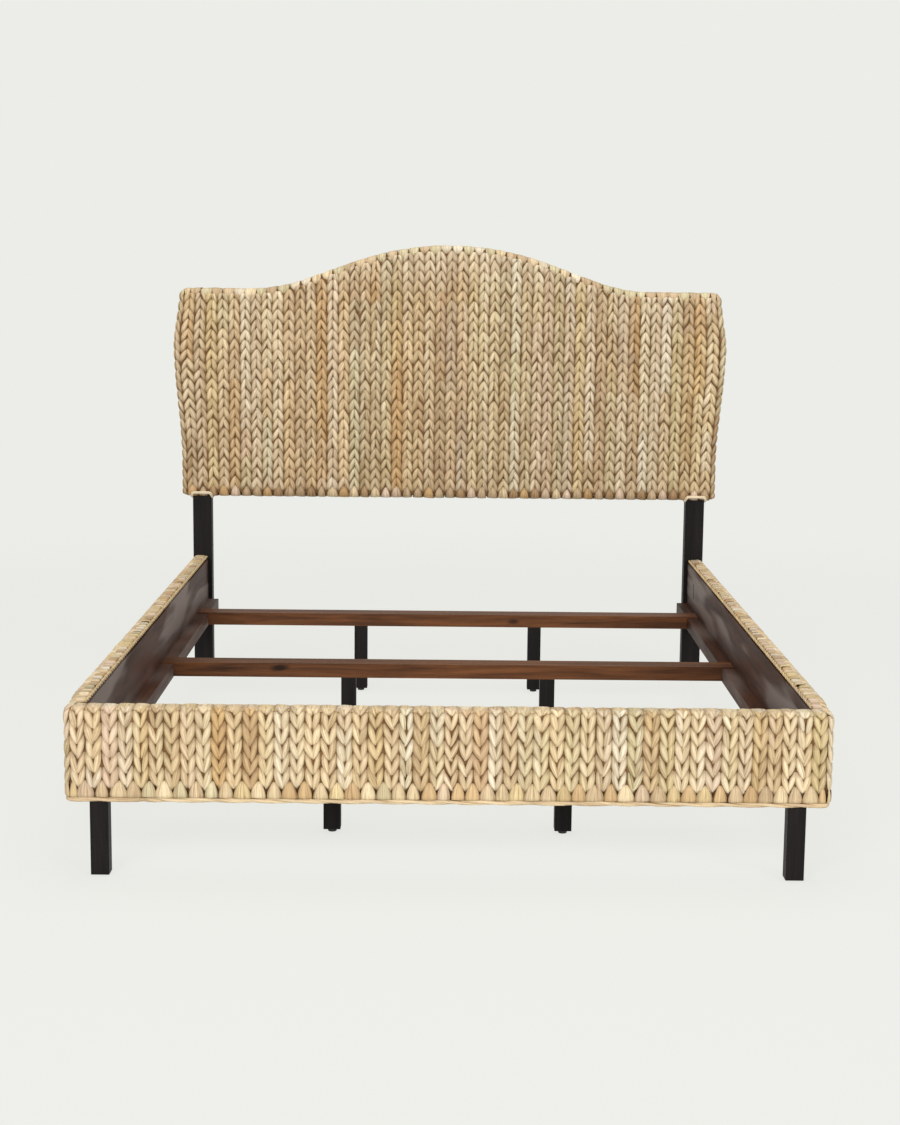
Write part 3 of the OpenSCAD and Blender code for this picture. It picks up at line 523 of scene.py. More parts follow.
def cord(name, route, diameter, turn, closed=False, seed=1, spread=0.2, tones=(CREAM, TAN)):
    """Cord of twisted plies along a route of points. A ply's middle circles the route once for
    each turn, at spread times the diameter, and the ply is a tube round that middle which
    reaches the cord's outside. Up is kept square to the route."""
    route = np.array(route, float)
    if closed:
        route = np.concatenate([route, route[:1]])
    steps = np.linalg.norm(np.diff(route, axis=0), axis=1)
    total = steps.sum()
    turns = round(total / turn) if closed else total / turn
    s = np.linspace(0, total, max(int(turns * TURN_STEPS), len(route)) + 2)
    reach = np.concatenate([[0], np.cumsum(steps)])
    middle = np.stack([np.interp(s, reach, route[:, k]) for k in range(3)], axis=-1)
    tangent = np.gradient(middle, axis=0)
    if closed:
        tangent[0] = tangent[-1] = middle[1] - middle[-2]
    tangent /= np.linalg.norm(tangent, axis=1, keepdims=True)
    plane = np.linalg.svd(route - route.mean(axis=0))[2][2] if closed else (0.0, 0.0, 1.0)
    side = np.cross(tangent, plane)
    side /= np.linalg.norm(side, axis=1, keepdims=True)
    up = np.cross(side, tangent)
    rng = np.random.default_rng(seed)
    knots = max(3, int(total / DRIFT_LENGTH))
    drift = np.interp(s, np.linspace(0, total, knots), rng.normal(0, DRIFT, knots))
    if closed:
        drift = drift * np.sin(math.pi * s / total)
    out, radius = diameter * spread, diameter * (0.5 - spread)
    angle = CIRCLE * (turns * s / total)[None, :] + drift + QUARTER / 3 \
        + (CIRCLE * np.arange(PLIES) / PLIES)[:, None]
    radial = np.cos(angle)[..., None] * up + np.sin(angle)[..., None] * side
    around = -np.sin(angle)[..., None] * up + np.cos(angle)[..., None] * side
    ring = CIRCLE * np.arange(PLY_SIDES) / PLY_SIDES
    points = (middle + out * radial)[:, :, None] + radius * (
        np.cos(ring)[:, None] * radial[:, :, None] + np.sin(ring)[:, None] * around[:, :, None])
    lay = np.zeros(points.shape)
    lay[..., 0] = radius * np.abs(ring - math.pi) * MM
    lay[..., 1] = s[None, :, None] * MM
    lay[..., 2] = CORD_APART * seed + PLY_APART * np.arange(PLIES)[:, None, None]
    stretches = max(2, int(total / TONE_LENGTH))
    mix = np.stack([np.interp(s, np.linspace(0, total, stretches), rng.random(stretches))
                    for _ in range(PLIES)])[:, :, None, None]
    tint = np.ones(points.shape[:3] + (4,))
    tint[..., :3] = mix * tones[0] + (1 - mix) * tones[1]
    return piece(name, points, cord_fibre, round_again=True, lay=lay, tint=tint)


def bent(points, radius):
    """Open route through the points with each inner corner rounded by a quarter arc."""
    route = [np.array(points[0], float)]
    for before, corner, after in zip(points[:-2], points[1:-1], points[2:]):
        before, corner, after = (np.array(p, float) for p in (before, corner, after))
        back = (before - corner) / np.linalg.norm(before - corner)
        on = (after - corner) / np.linalg.norm(after - corner)
        centre = corner + radius * (back + on)
        for a in np.linspace(0, QUARTER, BEND_STEPS + 1):
            route.append(centre - radius * on * math.cos(a) - radius * back * math.sin(a))
    route.append(np.array(points[-1], float))
    return route


# Materials

class Level:
    """A node's output. Arithmetic on it adds the Math nodes that work it out."""

    def __init__(self, nodes, socket):
        self.nodes, self.socket = nodes, socket

    def math(self, operation, first, second):
        return self.nodes.node("ShaderNodeMath", {"operation": operation}, {0: first, 1: second})

    def __add__(self, other):
        return self.math("ADD", self, other)

    def __radd__(self, other):
        return self.math("ADD", other, self)

    def __sub__(self, other):
        return self.math("SUBTRACT", self, other)

    def __rsub__(self, other):
        return self.math("SUBTRACT", other, self)

    def __mul__(self, other):
        return self.math("MULTIPLY", self, other)

    def __rmul__(self, other):
        return self.math("MULTIPLY", other, self)

    def __or__(self, other):
        return self.math("MAXIMUM", self, other)


class Nodes:
    """The nodes of a material or of the world."""

    def __init__(self, tree):
        self.tree = tree

    def node(self, kind, settings=None, inputs=None, output=0):
        """Adds a node, with its settings first and then the values or links of its sockets."""
        made = self.tree.nodes.new(kind)
        for key, value in (settings or {}).items():
            if key == "stops":
                ramp = made.color_ramp.elements
                while len(ramp) < len(value):
                    ramp.new(0.5)
                for stop, (place, colour) in zip(ramp, value):
                    stop.position, stop.color = place, (*colour, 1.0)
            else:
                setattr(made, key, value)
        for key, value in (inputs or {}).items():
            self.join(value, made.inputs[key])
        return Level(self, made.outputs[output])

    def join(self, value, socket):
        if isinstance(value, Level):
            self.tree.links.new(value.socket, socket)
        else:
            socket.default_value = value

    def seen(self):
        """1 for rays from the camera, reflections and glass, 0 for the light on the object."""
        camera, glossy, through = (
            self.node("ShaderNodeLightPath", output=kind)
            for kind in ("Is Camera Ray", "Is Glossy Ray", "Is Transmission Ray"))
        return camera | glossy | through


class Finish(Nodes):
    """A material in the making, on Blender's Principled shader."""

    def __init__(self, name, **constants):
        self.material = bpy.data.materials.new(name)
        self.material.use_nodes = True
        super().__init__(self.material.node_tree)
        self.shader = self.tree.nodes["Principled BSDF"]
        self.feed(**constants)

    def feed(self, **values):
        for socket, value in values.items():
            self.join(value, self.shader.inputs[socket.replace("_", " ")])
        return self.material

    def scaled(self, vector, *scale):
        return self.node("ShaderNodeVectorMath", {"operation": "MULTIPLY"}, {0: vector, 1: scale})

    def noise(self, vector, scale=1.0, detail=3.0, distortion=0.0):
        return self.node("ShaderNodeTexNoise", {}, {
            "Vector": vector, "Scale": scale, "Detail": detail, "Distortion": distortion})

    def steps(self, level, *stops):
        return self.node("ShaderNodeValToRGB", {"stops": stops}, {0: level})

    def between(self, level, low, high):
        """0 below low and 1 above high, with a smooth step between them."""
        return self.node("ShaderNodeMapRange", {"interpolation_type": "SMOOTHSTEP"},
                         {0: level, 1: low, 2: high})

    def mixed(self, share, first, second, how="MIX"):
        return self.node("ShaderNodeMix", {"data_type": "RGBA", "blend_type": how},
                         {0: share, 6: first, 7: second}, output=2)

    def bump(self, height, distance):
        return self.node("ShaderNodeBump", {}, {
            "Height": height, "Distance": distance, "Strength": 1.0})


def solid(colour):
    """A colour with full alpha, as a socket takes it."""
    return (*colour, 1.0)


def object_place(f):
    """Place on the object in metres, which patterns in solid material follow."""
    return f.node("ShaderNodeTexCoord", output="Object")


def length_of(f, vector):
    """Length of a vector, as a Level."""
    return f.node("ShaderNodeVectorMath", {"operation": "LENGTH"}, {0: vector}, output="Value")


def by_grain(axis, across, lengthwise):
    """One figure for each axis, where the grain's own axis has the second one."""
    return [lengthwise if k == axis else across for k in range(3)]


def leaf(name, roughness):
    """Dry leaf fibre: fine ribs along the strand, soft streaks and a few brown flecks."""
    f = Finish(name, Roughness=roughness, Specular_IOR_Level=0.35)
    lay = f.node("ShaderNodeAttribute", {"attribute_name": "lay"}, output="Vector")
    tint = f.node("ShaderNodeAttribute", {"attribute_name": "tint"})
    ribs = f.noise(f.scaled(lay, 950.0, 26.0, 1.0), detail=2.0)
    streaks = f.noise(f.scaled(lay, 260.0, 14.0, 1.7), detail=3.0, distortion=0.3)
    flecks = f.between(f.noise(f.scaled(lay, 380.0, 50.0, 2.3), detail=2.0), 0.62, 0.74)
    light = f.steps(streaks, (0.3, (0.58, 0.51, 0.42)), (0.48, (0.94, 0.93, 0.91)),
                    (0.7, (1.07, 1.07, 1.07)))
    colour = f.mixed(1.0, tint, light, "MULTIPLY")
    fine = f.steps(ribs, (0.3, (0.8, 0.77, 0.72)), (0.6, (1.0, 1.0, 1.0)))
    colour = f.mixed(0.7, colour, fine, "MULTIPLY")
    colour = f.mixed(flecks * 0.55, colour, solid(FLECK))
    return f.feed(Base_Color=colour, Roughness=roughness + 0.22 * ribs - 0.1,
                  Normal=f.bump(ribs * 0.7 + streaks * 0.5, 0.0009))


def dark_fibre():
    """What shows between the strands: brown fibre, darkened with painted shade."""
    f = Finish("ground_fibre", Roughness=0.9)
    grain = f.noise(object_place(f), 220.0, 4.0)
    colour = f.steps(grain, (0.3, GROUND_DARK), (0.7, GROUND_LIGHT))
    return f.feed(Base_Color=colour, Normal=f.bump(grain, 0.002))


def timber(name, axis, dark, light, roughness, shine=0.3, gloss=0.0, knots=(), painted_sheen=0.0):
    """Wood with its grain along one axis (0 for X, 1 for Y, 2 for Z): broad bands, fine pores,
    knots that bend the bands, and mottled patches of painted sheen, a painted reflection that is
    stronger higher up."""
    f = Finish(name, Specular_IOR_Level=shine, Coat_Weight=gloss, Coat_Roughness=0.18)
    place = object_place(f)
    bands = f.noise(f.scaled(place, *by_grain(axis, 38.0, 2.2)), detail=4.0, distortion=1.1)
    pores = f.noise(f.scaled(place, *by_grain(axis, 620.0, 16.0)), detail=2.0)
    rings = []
    for knot in knots:
        apart = f.node("ShaderNodeVectorMath", {"operation": "SUBTRACT"},
                       {0: place, 1: tuple(k * MM for k in knot)})
        away = length_of(f, f.scaled(apart, *by_grain(axis, 1.0, 0.5)))
        rings.append(1 - f.between(away, KNOT_CORE, KNOT_RIM))
    level = bands
    if rings:
        ring = sum(rings[1:], rings[0])
        level = bands + 0.35 * f.noise(f.scaled(place, 30.0, 30.0, 30.0)) * ring
    colour = f.steps(level, (0.28, dark), (0.72, light))
    pitted = f.steps(pores, (0.34, (0.55, 0.52, 0.5)), (0.56, (1.0, 1.0, 1.0)))
    colour = f.mixed(0.55, colour, pitted, "MULTIPLY")
    if rings:
        colour = f.mixed(ring * 0.85, colour, solid(KNOT))
    rough = roughness + 0.12 * pores
    if painted_sheen:
        # Painted reflection: mottled grey patches of sheen mixed into the colour, stronger higher
        # up
        sheen_patches = f.noise(f.scaled(place, 4.0, 1.5, 12.0), detail=2.0)
        height = f.node("ShaderNodeSeparateXYZ", {}, {0: place}, output="Z")
        higher = 0.4 + 0.6 * f.between(height, SHEEN_LOW, SHEEN_HIGH)
        colour = f.mixed(painted_sheen * f.between(sheen_patches, 0.47, 0.6) * higher, colour, solid(SHEEN_GREY))
        rough = rough + 0.25 * sheen_patches
    return f.feed(Base_Color=colour, Roughness=rough, Normal=f.bump(pores + bands * 0.6, 0.0004))


def metal(name, colour, roughness):
    """Steel with fine brushing and faint stains."""
    f = Finish(name, Metallic=1.0)
    place = object_place(f)
    brushed = f.noise(f.scaled(place, 900.0, 900.0, 60.0), detail=2.0)
    stains = f.noise(place, 60.0, 3.0)
    tone = f.steps(stains, (0.3, colour * 0.7), (0.7, colour))
    return f.feed(Base_Color=tone, Roughness=roughness + 0.2 * brushed,
                  Normal=f.bump(brushed, 0.0001))


def plastic(name, colour, roughness):
    """Moulded plastic with a fine matt texture."""
    f = Finish(name)
    grain = f.noise(object_place(f), 1400.0, 2.0)
    tone = f.steps(grain, (0.3, colour * 0.8), (0.7, colour * 1.3))
    return f.feed(Base_Color=tone, Roughness=roughness + 0.15 * grain,
                  Normal=f.bump(grain, 0.0002))


# The third colour is the grey of the painted sheen on the rails, a painted reflection
FLECK, KNOT, SHEEN_GREY = paint(150, 108, 66), paint(38, 22, 14), paint(142, 131, 125)
# The next two colours are those of the sheet under the plait: brown fibre with painted shade for
# the gaps
GROUND_DARK, GROUND_LIGHT = paint(84, 56, 28), paint(132, 94, 54)
BLACK = paint(18, 16, 16), paint(32, 28, 28)
RED = paint(58, 35, 22), paint(117, 73, 43)
STAIN = paint(43, 26, 19), paint(82, 50, 36)
RAW = paint(176, 138, 94), paint(214, 182, 136)
# Knots of the slats in millimetres, and in metres a knot's radii and the heights of the painted
# sheen, a painted reflection
SLAT_KNOTS = [(-468.0, 9.0, 231.0), (-449.0, 9.0, 234.0), (205.0, 771.0, 226.0)]
KNOT_CORE, KNOT_RIM = 0.003, 0.014
SHEEN_LOW, SHEEN_HIGH = 0.25, 0.34
fibre = leaf("woven_leaf_fibre", 0.52)
cord_fibre = leaf("twisted_leaf_fibre", 0.58)
ground_fibre = dark_fibre()
FINISHES = {
    "black_wood": timber("satin_black_wood", 2, *BLACK, 0.45, shine=0.1),
    "slat_wood": timber("red_stained_slat", 0, *RED, 0.45, shine=0.12, knots=SLAT_KNOTS),
    "rail_wood": timber("dark_stained_rail", 1, *STAIN, 0.35, shine=0.08, painted_sheen=0.7),
    "panel_wood": timber("dark_stained_panel", 0, *STAIN, 0.3, gloss=0.1),
    "raw_x": timber("raw_timber_crosswise", 0, *RAW, 0.6),
    "raw_y": timber("raw_timber_lengthwise", 1, *RAW, 0.6),
    "raw_z": timber("raw_timber_upright", 2, *RAW, 0.6),
    "steel": metal("zinc_steel", paint(196, 196, 190), 0.32),
    "dark_steel": metal("dark_steel", paint(70, 62, 56), 0.5),
    "black_plastic": plastic("black_glide", paint(24, 24, 24), 0.5),
}


def finish_of(node):
    """The finish that a CAD node wears, by its kind and its grain."""
    slot = next(p["material_slot"] for p in frame["record"]["subparts"] if p["node"] == node)
    if slot == "dark_wood":
        return "panel_wood" if node in ("headboard_back_panel", "footboard_lining") else "rail_wood"
    if slot == "red_wood":
        return "slat_wood"
    if slot == "raw_wood":
        upright = node.endswith(("stile", "wing_board", "block"))
        return "raw_z" if upright else "raw_y" if node.endswith("battens") else "raw_x"
    return "dark_steel" if node in ("cleat_screws", "slat_screws") else slot


# The woven covers and cords have no finish here, because pieces of the scene replace them
for node, solid_object in frame["nodes"].items():
    chosen = finish_of(node)
    if chosen in FINISHES:
        solid_object.data.materials.clear()
        solid_object.data.materials.append(FINISHES[chosen])


# Footboard and rails

# Shares of the tones, in the order of TONES, for the covers' leaves, their hems, the headboard's
# leaves, the strips over its crown and those under it
FOOT_SHARES = [33, 14, 10, 14, 9, 7, 10, 3]
HEM_SHARES = [24, 3, 6, 20, 5, 18, 24, 0]
HEAD_SHARES = [18, 16, 6, 7, 13, 11, 19, 10]
CROWN_SHARES = [12, 16, 4, 0, 36, 0, 32, 0]
HEAD_HEM_SHARES = [10, 0, 20, 0, 0, 20, 30, 20]

# Rows of the covers: pitch, middle of the first one, and below which v leaves are tucked in
PITCH, FIRST_ROW, TUCK_LOW = 33.0, 43.8, 3.0
# Ends of the strips along the hem, and how far up they are tucked in
HEM_LOW, HEM_HIGH, HEM_TUCK = -20.0, 36.0, 22.0
# Pairs of columns on the front, round each corner of it and on each rail
FOOT_PAIRS, FOOT_END_PAIRS, RAIL_PAIRS = 49, 2, 63
# How far the last row may lie past the start of the flat top, and how far below it strips start
FOOT_LAST, FOOT_END_LAST, RAIL_LAST = 14.0, 12.0, 2.0
FOOT_DROP, RAIL_DROP, HEAD_DROP = 8.0, 6.0, 9.0
# How far the front's columns reach into the corners, and what the end columns leave free there
FRONT_REACH, END_GAP = 7.0, 2.0
# Inner limits of the woven tops: a gap before the footboard's lining, and the rail's board
LINING_GAP, RAIL_INNER = 6.5, 790.0
# Where on v a cover's ground sheet starts and has a row of points on the flat face, how far a
# sheet stays inside its open ends, and how far it reaches under the next one
GROUND_LOW, GROUND_MIDDLE, SHEET_INSET, SHEET_UNDER = 2.0, 90.0, 1.0, 4.0
# The sheet on the footboard's top: how far it reaches past the front, and its middle row
TOP_SHEET_PAST, TOP_SHEET_ROW = 6.0, 10.0
# How far a rail's columns stay away from its ends together, and at the first one
RAIL_SHORT, RAIL_START = 4.0, 1.5


def hem_strips(name, place, columns, rng):
    """Strips on the boundaries of the pairs that narrow upwards, with tucked in lower ends."""
    edge_strips(name, place, *at_boundaries(columns), HEM_LOW, HEM_HIGH, HEM_SHARES, False, rng,
                point=1.3, pale=0.3, tucked=HEM_TUCK)


def over_edge(top, edge, points):
    """Places on v from the end of the flat face to the start of the flat top."""
    return top + edge * QUARTER * np.linspace(-1, 0, points)


def dress_footboard(rng):
    """Plait on the front and round both corners, strips over the top and along the hem, and the
    dark sheets under them. The front's columns reach a little into the corners."""
    top = top_start(TOP, FOOT_EDGE)
    inner = top + INNER_END - FRONT - FOOT_EDGE - LINING_GAP
    half = FOOT_HALF + FRONT_REACH
    columns = pairs_of_columns(2 * half, FOOT_PAIRS, rng, -half)
    made = plait("footboard_plait", footboard_place, columns, FIRST_ROW, PITCH,
                 top + FOOT_LAST, True, (TUCK_LOW, inner), FOOT_SHARES, rng)
    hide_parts("footboard_weave")
    edge_strips("footboard_edge_strips", footboard_place, *columns, top - FOOT_DROP, inner,
                FOOT_SHARES, True, rng, crest=0.3)
    hem_strips("footboard_hem_strips", footboard_place, columns, rng)
    end_length = FOOT_WRAP - (FRONT_REACH + END_GAP)
    for side, hand in SIDES:
        start = half if side > 0 else -half - end_length
        columns = pairs_of_columns(end_length, FOOT_END_PAIRS, rng, start + side)
        plait("footboard_%s_end_plait" % hand, footboard_place, columns, FIRST_ROW, PITCH,
              top + FOOT_LAST, True, (TUCK_LOW, top + FOOT_END_LAST), FOOT_SHARES, rng)
        hem_strips("footboard_%s_end_hem_strips" % hand, footboard_place, columns, rng)
    corner = np.linspace(0, FOOT_CORNER * QUARTER, 6)
    us = np.concatenate([[SHEET_INSET - FOOT_HALF - FOOT_WRAP], -FOOT_HALF - corner[::-1],
                         FOOT_HALF + corner, [FOOT_HALF + FOOT_WRAP - SHEET_INSET]])
    vs = np.concatenate([[GROUND_LOW, GROUND_MIDDLE], over_edge(top, FOOT_EDGE, 5)])
    ground("footboard_ground", footboard_place, us, vs)
    reach = FOOT_HALF + TOP_SHEET_PAST
    ground("footboard_top_ground", footboard_place, np.linspace(-reach, reach, 9),
           np.array([top - SHEET_UNDER, top + TOP_SHEET_ROW, inner]))


def dress_rail(side, hand, rng):
    """Plait on the outer face, strips over the top and along the hem, and the sheet under them."""
    place = rail_place(side)
    top = top_start(RAIL_TOP, RAIL_EDGE)
    inner = top + RAIL_OUT - RAIL_EDGE - RAIL_INNER
    columns = pairs_of_columns(RAIL_LENGTH - RAIL_SHORT, RAIL_PAIRS, rng, RAIL_START)
    made = plait(hand + "_rail_plait", place, columns, FIRST_ROW, PITCH, top + RAIL_LAST,
                 True, (TUCK_LOW, inner), FOOT_SHARES, rng)
    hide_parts(hand + "_rail_weave")
    edge_strips(hand + "_rail_edge_strips", place, *columns, top - RAIL_DROP, inner, FOOT_SHARES,
                True, rng, point=3.0, crest=0.3, pale=0.1)
    hem_strips(hand + "_rail_hem_strips", place, columns, rng)
    vs = np.concatenate([[GROUND_LOW, GROUND_MIDDLE], over_edge(top, RAIL_EDGE, 6), [inner]])
    ground(hand + "_rail_ground", place, np.linspace(SHEET_INSET, RAIL_LENGTH - SHEET_INSET, 160),
           vs)


def dark_mark():
    """Small dark upright slab let into the inner face of the right rail, 150 mm before the rear
    post, for a narrow dark mark there.
    """
    (x_low, x_high), (y_low, y_high), z_ends = (779.7, 781.0), (881.0, 897.0), (281.0, 330.0)
    ring = [(x_low, y_low), (x_high, y_low), (x_high, y_high), (x_low, y_high)]
    points = np.array([[[(x, y, z) for x, y in ring] for z in z_ends]])
    piece("right_rail_dark_mark", points, FINISHES["black_plastic"],
          round_again=True)


cover_rng = np.random.default_rng(11)
dress_footboard(cover_rng)
for side, hand in SIDES:
    dress_rail(side, hand, cover_rng)
dark_mark()


# Headboard

# Rows: pitch, height of the first one's middle, how far the last may pass the front's end, and
# how far below the first row leaves are tucked in
HEAD_PITCH, HEAD_FIRST, HEAD_LAST, HEAD_TUCK = 31.5, 622.0, 4.0, 20.0
# Lean in degrees and length in pitches of the headboard's leaves
HEAD_LEAN, HEAD_LENGTH = 19.0, 1.6
# Pairs of columns on the front and on a wing's edge, and how uneven the front's are
HEAD_PAIRS, WING_PAIRS, HEAD_UNEVEN = 49, 4, 0.03
# From which height, over what length and by what share the front's leaves are mixed towards
# whitish, painted light that makes the top of the headboard lighter
HEAD_PAINTED_TOP_LIGHT = (FRONT_W + 1195.0, 165.0, 0.42)
# Start on v of the strips under the lower edge, and how far below the first row they end
HEAD_HEM_START, HEAD_HEM_GAP = 3.0, 5.0
# Wings' edges: heights of the first and last row, and outside which leaves are tucked in
WING_FIRST, WING_LAST = HEAD_LOW + 6.0, SHOULDER + 4.0
WING_TUCKS = (HEAD_LOW + 8.0, SHOULDER - CORNER_R + 30.0)
# How far short of the back panel their columns and sheets end, the step between sheet points
# next to the rounded edges, and how far above the lower edge the sheets start
WING_SHORT, WING_SHEET_SHORT = 1.5, 0.5
WING_FLAT_STEP, WING_BACK_STEP, WING_SHEET_LOW = 10.0, 3.0, 3.0
# Width of the strips at both ends of the crown and how far their middles lie round the edge
CORNER_STRIP, CORNER_STRIP_OUT = 13.0, 5.5
# Depth of the ground sheets, and the height at which the wing edges' columns are equally wide
HEAD_DEPTH, WING_MIDDLE = 6.0, 900.0


def dress_headboard(rng):
    """Plait on the front with its tips up, strips over the crown and under the lower edge."""
    columns = pairs_of_columns(2 * HEAD_EDGE, HEAD_PAIRS, rng, -HEAD_EDGE, HEAD_UNEVEN)
    first = HEAD_FIRST + FRONT_W
    last = np.repeat(front_end(columns[0]), 2)
    made = plait("headboard_plait", headboard_place, columns, first, HEAD_PITCH,
                 last + HEAD_LAST, False, (first - HEAD_TUCK, last), HEAD_SHARES, rng, HEAD_LEAN,
                 HEAD_LENGTH, pale=HEAD_PAINTED_TOP_LIGHT)
    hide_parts("headboard_weave")
    middles, widths = at_boundaries(columns)
    corner = HEAD_EDGE + CORNER_STRIP_OUT
    middles = np.concatenate([[-corner], middles, [corner]])
    widths = np.concatenate([[CORNER_STRIP], widths, [CORNER_STRIP]])
    low = front_end(middles)
    edge_strips("headboard_edge_strips", headboard_place, middles, widths, low - HEAD_DROP,
                low + OVER_TOP, CROWN_SHARES, True, rng, point=3.6, pale=0.2, dark=0.35)
    edge_strips("headboard_hem_strips", headboard_place, *columns, HEAD_HEM_START,
                first - HEAD_HEM_GAP, HEAD_HEM_SHARES, False, rng, point=1.8, pale=0.0)


def headboard_ground():
    """The sheet under the front's plait, from the back rim below, up the front and over the crown
    to the rim behind it, with rows of points where it turns."""
    us = np.linspace(-HEAD_EDGE - SHEET_UNDER, HEAD_EDGE + SHEET_UNDER, 120)
    tops = front_end(us)[:, None]
    over_front = np.array([0.25, 0.5, 0.75, 1.0]) * FRONT_EDGE_LENGTH
    over_back = np.array([0.0, 0.5, 1.0]) * BACK_EDGE_LENGTH
    low = np.concatenate([[GROUND_LOW], RIM + over_back, [OVER_TOP - FRONT_EDGE_LENGTH],
                          OVER_TOP - FRONT_EDGE_LENGTH + over_front])
    vs = np.concatenate([
        np.broadcast_to(low, (len(us), len(low))),
        low[-1] + (tops - low[-1]) * np.linspace(0, 1, 16)[1:],
        tops + over_front, tops + (FRONT_EDGE_LENGTH + HEAD_FLAT + over_back),
        tops + OVER_TOP - SHEET_INSET], axis=1)
    ground("headboard_ground", headboard_place, us, vs, HEAD_DEPTH, inside_out=False)


def dress_wing_edge(side, hand, rng):
    """Plait round the edge of one wing up to the shoulder, and the sheet under it."""
    place = wing_place(side)
    columns = even_columns(place, WING_MIDDLE, WING_WRAP - WING_SHORT, WING_PAIRS)
    plait(hand + "_wing_edge_plait", place, columns, WING_FIRST, HEAD_PITCH, WING_LAST, False,
          WING_TUCKS, HEAD_SHARES, rng, HEAD_LEAN, HEAD_LENGTH)
    corner, back = SHOULDER - CORNER_R, FRONT_EDGE_LENGTH + HEAD_FLAT
    us = np.concatenate([np.linspace(-SHEET_UNDER, FRONT_EDGE_LENGTH, 6),
                         np.linspace(FRONT_EDGE_LENGTH + WING_FLAT_STEP, back, 4),
                         np.linspace(back + WING_BACK_STEP, WING_WRAP - WING_SHEET_SHORT, 12)])
    vs = np.concatenate([np.linspace(HEAD_LOW + WING_SHEET_LOW, corner, 24),
                         corner + CORNER_R * QUARTER * np.array([0.25, 0.5, 0.75])])
    ground(hand + "_wing_edge_ground", place, us, vs, HEAD_DEPTH, inside_out=side > 0)


head_rng = np.random.default_rng(5)
dress_headboard(head_rng)
headboard_ground()
for side, hand in SIDES:
    dress_wing_edge(side, hand, head_rng)


# Edging cords and strands

# Thicknesses, and lengths of a full turn of the plies
HEM_CORD, INNER_CORD, RAIL_INNER_CORD, BACK_CORD, STRAND = 12.0, 9.0, 8.6, 6.5, 9.0
HEM_TURN, INNER_TURN, BACK_TURN, STRAND_TURN = 170.0, 46.0, 34.0, 900.0
# How far the hem cords' middles lie inside the outer faces and below the edges, the radius of
# their corners, and how far their plies lie from the middle as a share of the thickness
HEM_IN, HEM_BELOW, HEM_BEND, HEM_SPREAD = 6.7, 6.0, 12.0, 0.16
# How far the cords end short of the cover's inner ends on the footboard, and of a rail's ends
FOOT_SHORT, RAIL_CORD_SHORT = 1.0, 0.5
# Middles of the cords along the inner top edges, and how far short of the sides one ends
FOOT_INNER_BACK, FOOT_INNER_BELOW, FOOT_INNER_END = 4.6, 6.2, 13.0
RAIL_INNER_X, RAIL_INNER_BELOW = 784.4, 5.6
# Radius of the corners of the cord round the back panel
BACK_BEND = 12.0
# The strand round a post: its distance from the post, the power that rounds its corners, its
# height, and how far it is drawn forward and arched up in front
STRAND_OUT, STRAND_SQUARE, STRAND_Z, STRAND_FORWARD, STRAND_RISE = 4.0, 0.3, 576.0, 17.0, 16.0


def footboard_cords():
    """One cord round the lower edge of the footboard and one along its inner top edge."""
    x, y, z = FOOT_HALF_WIDTH - HEM_IN, FRONT + HEM_IN, WEAVE_LOW - HEM_BELOW
    end = INNER_END - FOOT_SHORT
    corners = [(-x, end, z), (-x, y, z), (x, y, z), (x, end, z)]
    made = cord("footboard_hem_cord", bent(corners, HEM_BEND), HEM_CORD, HEM_TURN, seed=2,
                spread=HEM_SPREAD)
    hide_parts("footboard_cords")
    x, y, z = FOOT_HALF_WIDTH - FOOT_INNER_END, INNER_END - FOOT_INNER_BACK, TOP - FOOT_INNER_BELOW
    cord("footboard_inner_cord", [(-x, y, z), (x, y, z)], INNER_CORD, INNER_TURN, seed=3)


def rail_cords(side, hand):
    """One cord along the lower edge of a rail's cover and one along its inner top edge."""
    x, z = side * (RAIL_OUT - HEM_IN), WEAVE_LOW - HEM_BELOW
    ends = INNER_END + RAIL_CORD_SHORT, INNER_END + RAIL_LENGTH - RAIL_CORD_SHORT
    made = cord(hand + "_rail_hem_cord", [(x, y, z) for y in ends], HEM_CORD, HEM_TURN,
                seed=4 + side, spread=HEM_SPREAD)
    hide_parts(hand + "_rail_cords")
    x, z = side * RAIL_INNER_X, RAIL_TOP - RAIL_INNER_BELOW
    cord(hand + "_rail_inner_cord", [(x, y, z) for y in ends], RAIL_INNER_CORD, INNER_TURN,
         seed=8 + side, tones=(YELLOW, TAN))


def back_cord():
    """Closed cord round the back panel: along the crown, round the shoulders and along the bottom,
    with quarter arcs at the corners, where the solid cord lies."""
    half, low, high = (span("headboard_back_cord", k)[end] for k, end in ((0, 1), (2, 0), (2, 1)))
    y = sum(span("headboard_back_cord", 1)) / 2
    half, low, drop = half - BACK_CORD / 2, low + BACK_CORD / 2, CROWN - (high - BACK_CORD / 2)
    r = BACK_BEND
    xs = np.linspace(-half + r, half - r, 90)
    shoulder = SHOULDER - drop - r
    turn = np.linspace(QUARTER, 0, 7)
    right = [(half - r + r * math.cos(a), y, shoulder + r * math.sin(a)) for a in turn]
    right += [(half - r + r * math.cos(a), y, low + r - r * math.sin(a)) for a in turn[::-1]]
    left = [(-x, y, z) for x, y, z in right[::-1]]
    route = [(x, y, z) for x, z in zip(xs, crown(xs) - drop)] + right + left
    made = cord("headboard_back_cord_plies", route, BACK_CORD, BACK_TURN, closed=True, seed=12)
    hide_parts("headboard_back_cord")


